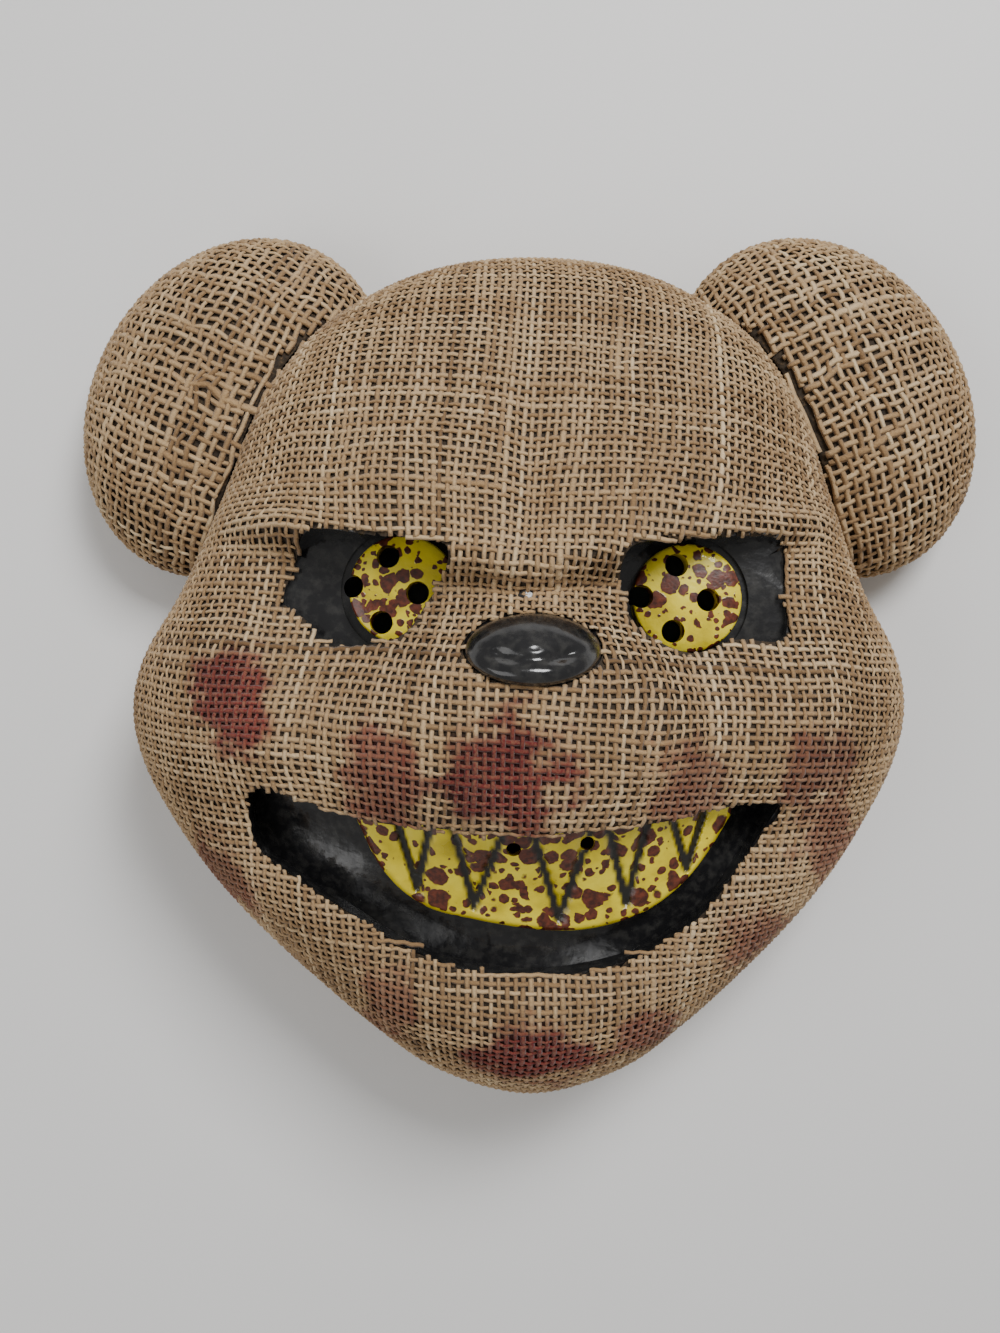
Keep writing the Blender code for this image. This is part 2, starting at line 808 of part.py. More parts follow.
def make_rivet(side, mat):
    """A round flat head that holds one end of the strap."""
    sign = 1 if side == "right" else -1
    turn = sign * math.radians(STRAP_ANGLE + STRAP_SEAT / 2)
    depth = 3 * GAP + STRAP_THICKNESS + RIVET_THICKNESS / 2
    place = inner_wall(turn, depth)
    bm = bmesh.new()
    bmesh.ops.create_cone(
        bm,
        cap_ends=True,
        segments=RIVET_SIDES,
        radius1=RIVET_RADIUS,
        radius2=RIVET_RADIUS * RIVET_TAPER,
        depth=RIVET_THICKNESS,
    )
    rivet = add_object(f"strap_rivet_{side}", bm, mat)
    rivet.location = (place.x, place.y, STRAP_FOOT + STRAP_WIDTH / 2)
    rivet.rotation_euler = inward(turn).to_3d().to_track_quat("Z", "Y").to_euler()
    return rivet


def main():
    for obj in list(bpy.data.objects):
        bpy.data.objects.remove(obj)
    black = material("black plastic", (0.012, 0.012, 0.013), 0.22)
    burlap = material("burlap", (0.36, 0.25, 0.14), 0.95)
    yellow = material("yellow plastic", (0.85, 0.68, 0.03), 0.35)
    elastic = material("black elastic", (0.02, 0.02, 0.022), 0.8)
    metal = material("rivet metal", (0.45, 0.44, 0.42), 0.4)
    form = hide(head_form("face form", -GAP / 2, -UNDERCUT))
    holes = hole_cutters()
    make_shell(black, form, holes)
    make_cover(burlap)
    make_nose(black)
    for lens in LENSES:
        make_lens(lens, yellow, holes)
    make_teeth(yellow, form, holes)
    seat = hide(head_form("ear seat", GAP / 2 + CLOTH + GAP, -UNDERCUT))
    make_strap(elastic)
    for side in ("left", "right"):
        make_ear(side, burlap, seat)
        make_rivet(side, metal)


main()
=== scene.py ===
"""The looks of the bear mask: woven burlap over glossy moulded plastic.

The face's middle surface is worked out here from the same sizes as the model's
source, and every fine piece is laid on it: yarns, shell, discs, teeth and nose.
"""

import math
from collections import namedtuple

import bmesh
import bpy
import numpy as np
from mathutils import Matrix, Vector


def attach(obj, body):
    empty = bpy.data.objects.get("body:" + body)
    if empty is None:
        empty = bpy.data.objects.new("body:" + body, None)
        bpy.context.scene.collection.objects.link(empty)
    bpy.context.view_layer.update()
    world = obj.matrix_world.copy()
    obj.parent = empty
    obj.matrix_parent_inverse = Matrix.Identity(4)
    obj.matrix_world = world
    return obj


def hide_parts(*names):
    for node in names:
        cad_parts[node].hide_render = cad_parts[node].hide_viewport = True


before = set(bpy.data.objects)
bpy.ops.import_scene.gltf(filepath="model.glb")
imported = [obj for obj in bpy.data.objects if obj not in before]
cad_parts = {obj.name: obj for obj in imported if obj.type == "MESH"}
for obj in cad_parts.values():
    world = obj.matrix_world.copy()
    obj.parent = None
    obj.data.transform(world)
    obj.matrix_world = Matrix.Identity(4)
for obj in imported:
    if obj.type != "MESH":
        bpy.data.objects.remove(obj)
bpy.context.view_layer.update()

# The face's own sizes, as in the model's source, in metres
OVERALL_WIDTH = 0.289
OVERALL_HEIGHT = 0.272
HEAD_WIDTH = 0.240
HEAD_LEAN = 0.004
DOME_HEIGHT = 0.088
DOME_FULLNESS = 2.6
BULGE_HEIGHT = 0.030
RIM_TUCK = 0.005
MUZZLE_RISE = 0.026
BROW_RISE = 0.014
BROW_MIDDLE = 0.0195
BROW_SLOPE = 0.19
BROW_EDGE = 0.010
BROW_FADE = 0.045
BROW_REACH = 0.80
BROW_FLATNESS = 6
LEAN_MIDDLE = -0.20
LEAN_REACH = 0.55
RELIEF_FADE = 6
SHELL_WALL = 0.0015
CLOTH = 0.0015
GAP = 0.0003
SOCKET_ACROSS = 0.047
SOCKET_UP = 0.0175
SOCKET_WIDTH = 0.047
SOCKET_HEIGHT = 0.032
SOCKET_FLOOR = 0.0735
LENS_RADIUS = 0.0152
LENS_THICKNESS = 0.0075
LENS_CROWN = 0.0012
LENS_MARGIN = 0.0030
VISION_HOLE_RADIUS = 0.0032
VISION_HOLE_RING = 0.0092
MOUTH_WIDTH = 0.148
MOUTH_TOP = -0.0445
MOUTH_DROP = 0.043
MOUTH_DEPTH = 0.010
LIP_TUCK = 0.0030
TEETH_WIDTH = 0.104
TEETH_DROP = 0.032
TEETH_THICKNESS = 0.0065
BREATH_HOLE_RADIUS = 0.0020
NOSE_ACROSS = -0.001
NOSE_UP = 0.0015
NOSE_WIDTH = 0.036
NOSE_HEIGHT = 0.0195
NOSE_RISE = 0.0040
EAR_BREADTH = 0.090
EAR_LENGTH = 0.114
EAR_TILT = 30.0
EAR_BACK = 0.010
EAR_THICKNESS = 0.042
HALF_HEAD = HEAD_WIDTH / 2
HALF_MASK = OVERALL_HEIGHT / 2

# Sizes of the finish
YARN_PITCH = 0.00235
EAR_PITCH = 0.0029
YARN_WIDE = 0.29
YARN_TALL = 0.165
YARN_LIFT = 0.00088
YARN_WAVE = 0.00034
SHEET_LIFT = 0.00030
STEP_UP = 0.0014
GROOVE_WIDTH = 0.0024
GROOVE_DEPTH = 0.0013

Rim = namedtuple("Rim", "across up")
OUTLINE = (
    Rim(0.00, 0.902),
    Rim(0.20, 0.886),
    Rim(0.38, 0.832),
    Rim(0.56, 0.725),
    Rim(0.69, 0.565),
    Rim(0.77, 0.370),
    Rim(0.87, 0.150),
    Rim(0.96, 0.000),
    Rim(0.985, -0.120),
    Rim(0.955, -0.240),
    Rim(0.885, -0.360),
    Rim(0.800, -0.475),
    Rim(0.690, -0.590),
    Rim(0.550, -0.710),
    Rim(0.400, -0.825),
    Rim(0.230, -0.930),
    Rim(0.00, -0.985),
)
Snout = namedtuple("Snout", "narrow wide broader_from broader_to tall up flatness")
SNOUT = Snout(0.24, 0.47, -0.12, 0.20, 0.27, -0.15, 2.6)
Bump = namedtuple("Bump", "name across up reach_across reach_up rise paired")
BUMPS = (
    Bump("nose root", 0.00, 0.02, 0.22, 0.14, 0.050, False),
    Bump("eye hollow", 0.40, 0.11, 0.27, 0.14, -0.055, True),
    Bump("cheek", 0.62, -0.14, 0.28, 0.22, 0.075, True),
    Bump("mouth corner", 0.55, -0.36, 0.20, 0.10, -0.050, True),
    Bump("chin", 0.00, -0.80, 0.42, 0.17, 0.110, False),
    Bump("jowl", 0.48, -0.54, 0.24, 0.16, 0.055, True),
    Bump("cheek fold", 0.43, -0.17, 0.11, 0.17, -0.045, True),
    Bump("frown", 0.00, 0.30, 0.06, 0.16, -0.040, False),
    Bump("temple", 0.62, 0.42, 0.20, 0.22, -0.040, True),
)
Corner = namedtuple("Corner", "across up")
SOCKETS = {
    "left": (
        Corner(0.97, 0.74),
        Corner(0.20, 0.90),
        Corner(-0.64, 1.04),
        Corner(-0.88, 0.42),
        Corner(-0.99, -0.14),
        Corner(-0.70, -0.48),
        Corner(-0.42, -0.92),
        Corner(0.42, -0.80),
        Corner(0.78, -0.14),
        Corner(0.94, 0.22),
    ),
    "right": (
        Corner(-0.96, 0.69),
        Corner(-0.30, 0.84),
        Corner(0.36, 0.95),
        Corner(0.98, 0.90),
        Corner(1.00, 0.05),
        Corner(0.95, -0.80),
        Corner(0.36, -0.82),
        Corner(-0.20, -1.06),
        Corner(-0.78, -0.68),
        Corner(-0.99, -0.14),
    ),
}
Lens = namedtuple("Lens", "side across up turn shift")
LENSES = (
    Lens("left", 0.45, 0.06, -6.0, -0.34),
    Lens("right", -0.19, -0.09, -3.0, -0.24),
)
LIP = (
    Corner(-1.06, 0.17),
    Corner(-0.82, 0.10),
    Corner(-0.60, 0.01),
    Corner(-0.38, -0.01),
    Corner(-0.06, -0.04),
    Corner(0.24, -0.02),
    Corner(0.52, 0.02),
    Corner(0.74, 0.08),
    Corner(0.93, 0.06),
)
JAW = (
    Corner(0.80, -0.27),
    Corner(0.64, -0.62),
    Corner(0.47, -0.84),
    Corner(0.30, -0.96),
    Corner(0.02, -1.02),
    Corner(-0.28, -0.97),
    Corner(-0.51, -0.83),
    Corner(-0.72, -0.60),
    Corner(-0.92, -0.40),
    Corner(-1.07, -0.20),
)
TEETH = (
    Corner(1.06, 0.00),
    Corner(0.96, -0.28),
    Corner(0.80, -0.60),
    Corner(0.54, -0.89),
    Corner(0.16, -1.01),
    Corner(-0.34, -0.90),
    Corner(-0.62, -0.76),
    Corner(-0.82, -0.44),
    Corner(-0.94, -0.02),
)
Groove = namedtuple("Groove", "left tip right drop")
GROOVES = (
    Groove(-0.72, -0.625, -0.535, 0.62),
    Groove(-0.43, -0.325, -0.145, 0.78),
    Groove(-0.035, 0.130, 0.300, 0.90),
    Groove(0.360, 0.490, 0.585, 0.76),
    Groove(0.715, 0.815, 0.900, 0.46),
)
BREATH_HOLES = (
    Corner(-0.115, -0.22),
    Corner(0.265, -0.18),
)
Section = namedtuple("Section", "out height")
EAR_SECTIONS = (
    Section(0.00, 1.00),
    Section(0.28, 0.975),
    Section(0.52, 0.88),
    Section(0.73, 0.73),
    Section(0.89, 0.52),
    Section(0.98, 0.32),
    Section(0.995, 0.16),
    Section(0.93, 0.03),
    Section(0.86, 0.00),
)

# Dark red stains on the cloth: middle, reach and strength, in metres on the plan
Stain = namedtuple("Stain", "x y reach_x reach_y strength")
STAINS = (
    Stain(-0.083, -0.012, 0.011, 0.016, 1.0),
    Stain(-0.040, -0.034, 0.010, 0.014, 0.8),
    Stain(-0.008, -0.031, 0.015, 0.016, 1.0),
    Stain(0.040, -0.034, 0.010, 0.013, 0.7),
    Stain(0.079, -0.031, 0.012, 0.012, 0.7),
    Stain(0.086, -0.052, 0.011, 0.014, 0.7),
    Stain(0.000, -0.113, 0.018, 0.012, 1.0),
    Stain(0.034, -0.109, 0.009, 0.008, 0.8),
    Stain(-0.042, -0.099, 0.008, 0.014, 0.6),
    Stain(0.064, -0.081, 0.011, 0.010, 0.7),
    Stain(-0.093, -0.066, 0.011, 0.014, 0.7),
)


def ease(value, low, high):
    """A smooth step from 0 at low to 1 at high."""
    t = np.clip((value - low) / (high - low), 0.0, 1.0)
    return t * t * (3 - 2 * t)


def smooth_loop(points, steps, closed=True):
    """A smooth curve through the points, with some steps for each point."""
    points = np.asarray(points, float)
    count = len(points)
    spans = count if closed else count - 1
    t = (np.arange(steps) / steps)[:, None]
    curve = []
    for i in range(spans):
        if closed:
            before, start, end, after = (points[(i + k) % count] for k in (-1, 0, 1, 2))
        else:
            start, end = points[i], points[i + 1]
            before = points[i - 1] if i else 2 * start - end
            after = points[i + 2] if i + 2 < count else 2 * end - start
        curve.append(
            0.5
            * (
                2 * start
                + (end - before) * t
                + (2 * before - 5 * start + 4 * end - after) * t**2
                + (3 * start - before - 3 * end + after) * t**3
            )
        )
    if not closed:
        curve.append(points[-1:])
    return np.concatenate(curve)


def outline_curve():
    """The head's outline as turns from +Y and reaches."""
    right = [(r.across * HALF_HEAD, r.up * HALF_MASK) for r in OUTLINE]
    left = [(-x, y) for x, y in right[-2:0:-1]]
    curve = smooth_loop(right + left, 12)
    turns = np.arctan2(curve[:, 0], curve[:, 1]) % math.tau
    order = np.argsort(turns)
    return turns[order], np.hypot(curve[:, 0], curve[:, 1])[order]


RIM_TURNS, RIM_REACHES = outline_curve()


def outline_reach(turn):
    return np.interp(turn % math.tau, RIM_TURNS, RIM_REACHES, period=math.tau)


def lean(y):
    return HEAD_LEAN * np.exp(-(((y / HALF_MASK - LEAN_MIDDLE) / LEAN_REACH) ** 2))


def relief(x, y):
    """Muzzle, brow and the soft rises and dents of the face."""
    broad = ease(-y / HALF_MASK, SNOUT.broader_from, SNOUT.broader_to)
    across = x / HALF_HEAD / (SNOUT.narrow + (SNOUT.wide - SNOUT.narrow) * broad)
    up = (y / HALF_MASK - SNOUT.up) / SNOUT.tall
    total = MUZZLE_RISE * np.exp(-(np.hypot(across, up) ** SNOUT.flatness))
    above = y - BROW_MIDDLE - BROW_SLOPE * np.abs(x)
    front = ease(above, -BROW_EDGE / 2, BROW_EDGE / 2)
    fade = np.exp(-((np.maximum(0.0, above) / BROW_FADE) ** 2))
    sides = np.exp(-((x / HALF_HEAD / BROW_REACH) ** BROW_FLATNESS))
    total = total + BROW_RISE * front * fade * sides
    for bump in BUMPS:
        for side in (1, -1) if bump.paired else (1,):
            across = (x / HALF_HEAD - side * bump.across) / bump.reach_across
            up = (y / HALF_MASK - bump.up) / bump.reach_up
            total = total + bump.rise * DOME_HEIGHT * np.exp(-(across**2) - up**2)
    return total


def dome_points(turn, dip):
    """Points of the middle surface, from the top at dip 0 to the bulge at 1."""
    share = np.sin(dip * math.pi / 2) ** (2 / DOME_FULLNESS)
    level = np.maximum(0.0, np.cos(dip * math.pi / 2)) ** (2 / DOME_FULLNESS)
    reach = outline_reach(turn) * share
    x, y = reach * np.sin(turn), reach * np.cos(turn)
    z = BULGE_HEIGHT + (DOME_HEIGHT - BULGE_HEIGHT) * level
    z = z + relief(x, y) * (1 - share**RELIEF_FADE)
    return np.stack((x - lean(y), y, z), axis=-1)


def wall_points(turn, drop):
    """Points of the wall below the bulge, down to the rim at drop 1."""
    reach = outline_reach(turn) - RIM_TUCK * drop
    x, y = reach * np.sin(turn), reach * np.cos(turn)
    z = np.broadcast_to(BULGE_HEIGHT * (1 - drop), x.shape)
    return np.stack((x - lean(y), y, z), axis=-1)


def surface_height(x, y):
    """The middle surface's height over places on the plan; nothing outside it."""
    x = np.asarray(x, float) + lean(np.asarray(y, float))
    y = np.asarray(y, float)
    turn = np.arctan2(x, y)
    share = np.hypot(x, y) / outline_reach(turn)
    inside = np.minimum(share, 1.0)
    dip = 2 / math.pi * np.arcsin(inside ** (DOME_FULLNESS / 2))
    height = dome_points(turn, dip)[..., 2]
    return np.where(share > 1.0, -1.0, height)


def waves(points, size, seed):
    """Smooth noise from -1 to 1, whose lumps are about size across."""
    rng = np.random.default_rng(seed)
    total = np.zeros(points.shape[:-1])
    for _ in range(9):
        way = rng.normal(size=3)
        way /= np.linalg.norm(way)
        rate = math.tau / size * rng.uniform(0.4, 1.3)
        total = total + np.sin(points @ way * rate + rng.uniform(0, math.tau))
    return np.clip(total / 4.2, -1.0, 1.0)


def edge_distance(points, outline):
    """How far places on the plan lie outside an outline; less than 0 inside it."""
    start = outline
    end = np.roll(outline, -1, axis=0)
    p = points[..., None, :2]
    along = end - start
    t = np.clip(((p - start) * along).sum(-1) / (along**2).sum(-1), 0.0, 1.0)
    near = np.linalg.norm(p - start - along * t[..., None], axis=-1).min(-1)
    above = (start[:, 1] > p[..., 1]) != (end[:, 1] > p[..., 1])
    slope = np.where(along[:, 1] == 0, 1e-12, along[:, 1])
    crossing = start[:, 0] + (p[..., 1] - start[:, 1]) * along[:, 0] / slope
    inside = (above & (p[..., 0] < crossing)).sum(-1) % 2 == 1
    return np.where(inside, -near, near)


def socket_place(side, corner):
    middle = SOCKET_ACROSS if side == "right" else -SOCKET_ACROSS
    return np.array(
        (
            middle + corner.across * SOCKET_WIDTH / 2,
            SOCKET_UP + corner.up * SOCKET_HEIGHT / 2,
        )
    )


def anticlockwise(points):
    after = np.roll(points, -1, axis=0)
    area = (points[:, 0] * after[:, 1] - points[:, 1] * after[:, 0]).sum()
    return points if area > 0 else points[::-1]


def socket_outline(side):
    return anticlockwise(smooth_loop([socket_place(side, c) for c in SOCKETS[side]], 6))


def mouth_place(corner):
    return np.array(
        (corner.across * MOUTH_WIDTH / 2, MOUTH_TOP + corner.up * MOUTH_DROP)
    )


def mouth_outline(tuck=0.0):
    lip = [mouth_place(c) + (0.0, tuck) for c in LIP]
    jaw = [mouth_place(c) for c in JAW]
    return anticlockwise(smooth_loop(lip + jaw, 5))


def oval(x, y, wide, tall, sides):
    a = math.tau * np.arange(sides) / sides
    return np.stack((x + wide * np.cos(a), y + tall * np.sin(a)), axis=-1)


def teeth_place(across, up):
    return np.array((across * TEETH_WIDTH / 2, MOUTH_TOP + up * TEETH_DROP))


def vision_holes(lens):
    middle = socket_place(lens.side, lens) + (lens.shift * LENS_RADIUS, 0.0)
    turns = [math.radians(lens.turn + 90 * k) for k in range(4)]
    return [middle + VISION_HOLE_RING * np.array((math.cos(a), math.sin(a))) for a in turns]


def openings():
    """The cloth's openings on the plan: eyes, mouth and nose."""
    found = [socket_outline(lens.side) for lens in LENSES]
    found.append(mouth_outline())
    found.append(oval(NOSE_ACROSS, NOSE_UP, NOSE_WIDTH / 2, NOSE_HEIGHT / 2, 48))
    return found


OPENINGS = openings()


def opening_distance(points):
    return np.minimum.reduce([edge_distance(points, o) for o in OPENINGS])


class Chart:
    """A round surface laid out flat from its middle, so that a weave can follow it."""

    ACROSS_SHARE = 0.25

    def __init__(self, points):
        steps = np.linalg.norm(np.diff(points, axis=1), axis=-1)
        arc = np.concatenate((np.zeros((len(points), 1)), np.cumsum(steps, axis=1)), 1)
        plan = np.linalg.norm(points[..., :2] - points[:, :1, :2], axis=-1)
        flat = (1 - self.ACROSS_SHARE) * arc + self.ACROSS_SHARE * plan
        self.ends = flat[:, -1]
        self.turns = len(points)
        self.rings = 640
        shares = np.linspace(0.0, 1.0, self.rings)
        self.points = np.empty((self.turns, self.rings, 3))
        for i in range(self.turns):
            for axis in range(3):
                self.points[i, :, axis] = np.interp(
                    shares * self.ends[i], flat[i], points[i, :, axis]
                )
        out = np.gradient(self.points, axis=1)
        about = np.roll(self.points, -1, axis=0) - np.roll(self.points, 1, axis=0)
        normal = np.cross(about, out)
        normal /= np.maximum(np.linalg.norm(normal, axis=-1, keepdims=True), 1e-15)
        normal[:, :6] = normal[:, 6:7].mean(0)
        normal /= np.linalg.norm(normal, axis=-1, keepdims=True)
        self.normals = normal

    def sample(self, u, v):
        """Points and normals at flat places, and which of the places are on it."""
        spot = np.arctan2(u, v) % math.tau / math.tau * self.turns
        low = np.floor(spot).astype(int)
        part = (spot - low)[..., None]
        one, two = low % self.turns, (low + 1) % self.turns
        end = self.ends[one] * (1 - part[..., 0]) + self.ends[two] * part[..., 0]
        share = np.hypot(u, v) / end
        ring = np.clip(share, 0.0, 1.0) * (self.rings - 1)
        near = np.minimum(np.floor(ring).astype(int), self.rings - 2)
        depth = (ring - near)[..., None]
        found = []
        for table in (self.points, self.normals):
            first = table[one, near] * (1 - depth) + table[one, near + 1] * depth
            second = table[two, near] * (1 - depth) + table[two, near + 1] * depth
            found.append(first * (1 - part) + second * part)
        return found[0], found[1], share <= 1.0


def head_chart():
    turns = (math.tau * np.arange(720) / 720)[:, None]
    dome = dome_points(turns, np.linspace(0.0, 1.0, 420)[None, :])
    wall = wall_points(turns, np.linspace(0.0, 0.985, 60)[None, 1:])
    return Chart(np.concatenate((dome, wall), axis=1))


def ear_frame(side):
    """The middle and the two half axes of one ear on the plan."""
    sign = 1 if side == "right" else -1
    tilt = math.radians(EAR_TILT)
    breadth, length = EAR_BREADTH / 2, EAR_LENGTH / 2
    reach_x = math.hypot(breadth * math.cos(tilt), length * math.sin(tilt))
    reach_y = math.hypot(breadth * math.sin(tilt), length * math.cos(tilt))
    middle = np.array((sign * (OVERALL_WIDTH / 2 - reach_x), OVERALL_HEIGHT / 2 - reach_y))
    across = np.array((sign * math.cos(tilt), math.sin(tilt))) * breadth
    along = np.array((-sign * math.sin(tilt), math.cos(tilt))) * length
    return middle, across, along


def ear_points(side, turns, sections):
    """Points of an ear's skin, for turns from +Y and rows of its section."""
    middle, across, along = ear_frame(side)
    way = np.stack((np.sin(turns), np.cos(turns)), axis=-1)
    # the ellipse's reach in each direction on the plan
    matrix = np.linalg.inv(np.stack((across, along), axis=-1))
    reach = 1 / np.linalg.norm(way @ matrix.T, axis=-1)
    plan = middle + way[:, None, :] * (reach[:, None] * sections[None, :, 0])[..., None]
    level = EAR_BACK + sections[:, 1] * EAR_THICKNESS
    level = np.broadcast_to(level, plan.shape[:2])
    return np.concatenate((plan, level[..., None]), axis=-1)


def ear_chart(side):
    turns = math.tau * np.arange(360) / 360
    return Chart(ear_points(side, turns, smooth_loop(EAR_SECTIONS, 24, closed=False)))


def clear_of_head(points, distance):
    """Which points lie outside the head's cloth by some distance."""
    height = surface_height(points[..., 0], points[..., 1])
    x = points[..., 0] + lean(points[..., 1])
    turn = np.arctan2(x, points[..., 1])
    beside = np.hypot(x, points[..., 1]) - outline_reach(turn)
    return (points[..., 2] > height + distance) & ((beside > distance) | (height > 0))


def stain_share(points):
    """How strongly each point is stained, with uneven edges."""
    ragged = 0.35 * waves(points, 0.012, 5) + 0.22 * waves(points, 0.004, 6)
    share = np.zeros(points.shape[:-1])
    for s in STAINS:
        apart = np.hypot((points[..., 0] - s.x) / s.reach_x, (points[..., 1] - s.y) / s.reach_y)
        share = np.maximum(share, s.strength * ease(1.25 - apart + ragged, 0.0, 0.6))
    return share


def mesh_object(name, points, faces, attributes=None):
    """One mesh from arrays, with its faces all of one size."""
    points = np.asarray(points, np.float32).reshape(-1, 3)
    faces = np.asarray(faces, np.int32)
    sides = faces.shape[1]
    mesh = bpy.data.meshes.new(name)
    mesh.vertices.add(len(points))
    mesh.vertices.foreach_set("co", points.ravel())
    mesh.loops.add(faces.size)
    mesh.loops.foreach_set("vertex_index", faces.ravel())
    mesh.polygons.add(len(faces))
    mesh.polygons.foreach_set("loop_start", np.arange(0, faces.size, sides, dtype=np.int32))
    mesh.update(calc_edges=True)
    for label, values in (attributes or {}).items():
        layer = mesh.attributes.new(label, "FLOAT", "POINT")
        layer.data.foreach_set("value", np.asarray(values, np.float32).ravel())
    mesh.shade_smooth()
    mesh.validate()
    obj = bpy.data.objects.new(name, mesh)
    bpy.context.scene.collection.objects.link(obj)
    return obj


class Strands:
    """Yarns gathered into one mesh: four-sided tubes with closed ends."""

    def __init__(self):
        self.points = []
        self.faces = []
        self.shades = []
        self.count = 0

    def add(self, path, normals, wide, tall, shade):
        """One yarn along a path, lying on a surface with these normals."""
        along = np.gradient(path, axis=0)
        along /= np.maximum(np.linalg.norm(along, axis=1, keepdims=True), 1e-12)
        side = np.cross(along, normals)
        side /= np.maximum(np.linalg.norm(side, axis=1, keepdims=True), 1e-12)
        up = np.cross(side, along)
        wide = np.broadcast_to(wide, len(path))[:, None]
        tall = np.broadcast_to(tall, len(path))[:, None]
        ring = np.stack((side * wide, up * tall, -side * wide, -up * tall), axis=1)
        self.points.append((path[:, None, :] + ring).reshape(-1, 3))
        index = self.count + np.arange(len(path) * 4).reshape(-1, 4)
        after = np.roll(index, -1, axis=1)
        walls = np.stack((index[:-1], index[1:], after[1:], after[:-1]), axis=-1)
        self.faces += [walls.reshape(-1, 4), index[:1], index[-1:, ::-1]]
        self.shades.append(np.repeat(np.broadcast_to(shade, len(path)), 4))
        self.count += len(path) * 4

    def build(self, name):
        points = np.concatenate(self.points)
        attributes = {"shade": np.concatenate(self.shades), "stain": stain_share(points)}
        return mesh_object(name, points, np.concatenate(self.faces), attributes)


def runs_of(mask, shortest=3):
    """The stretches where mask is true, as slices."""
    edges = np.flatnonzero(np.diff(np.concatenate(([0], mask.astype(int), [0]))))
    return [slice(a, b) for a, b in zip(edges[::2], edges[1::2]) if b - a >= shortest]


def weave(pieces, sample, reach, pitch, turn, way, keep, seed):
    """The yarns that run one way through a plain weave, shared out from side to side."""
    rng = np.random.default_rng(seed + 100 * way)
    count = int(reach / pitch) + 2
    steps = np.arange(-2 * count, 2 * count + 1)
    along = (steps / 2 + 0.5) * pitch
    cos, sin = math.cos(math.radians(turn)), math.sin(math.radians(turn))
    knots = np.linspace(along[0], along[-1], 28)
    common = rng.normal(0, 0.22 * pitch, (28, 28))
    for i in range(-count, count + 1):
        row = (i + count) / (2 * count) * 27
        low = min(int(row), 26)
        drift = common[low] * (1 - row + low) + common[low + 1] * (row - low)
        line = (i + 0.5) * pitch + rng.normal(0, 0.05 * pitch)
        line = line + np.interp(along, knots, drift + rng.normal(0, 0.05 * pitch, 28))
        u, v = (line, along) if way == 0 else (along, line)
        points, normals, inside = sample(u * cos - v * sin, u * sin + v * cos)
        over = np.cos(math.pi * (steps / 2 + i)) * (1 if way == 0 else -1)
        path = points + normals * (YARN_LIFT + YARN_WAVE * over)[:, None]
        fat = 1 + rng.normal(0, 0.07) + np.interp(along, knots, rng.normal(0, 0.11, 28))
        if rng.random() < 0.10:
            middle = rng.uniform(-reach, reach) * 0.7
            fat = fat + 0.5 * np.exp(-(((along - middle) / (6 * pitch)) ** 2))
        fat = np.clip(fat, 0.7, 1.55)
        shade = rng.normal(0.5, 0.17) + np.interp(along, knots, rng.normal(0, 0.12, 28))
        kept = inside & keep(path, rng.exponential(0.0005))
        for run in runs_of(kept):
            pieces[int(i >= 0) % len(pieces)].add(
                path[run],
                normals[run],
                YARN_WIDE * pitch * fat[run],
                YARN_TALL * pitch * np.sqrt(fat[run]),
                shade[run],
            )


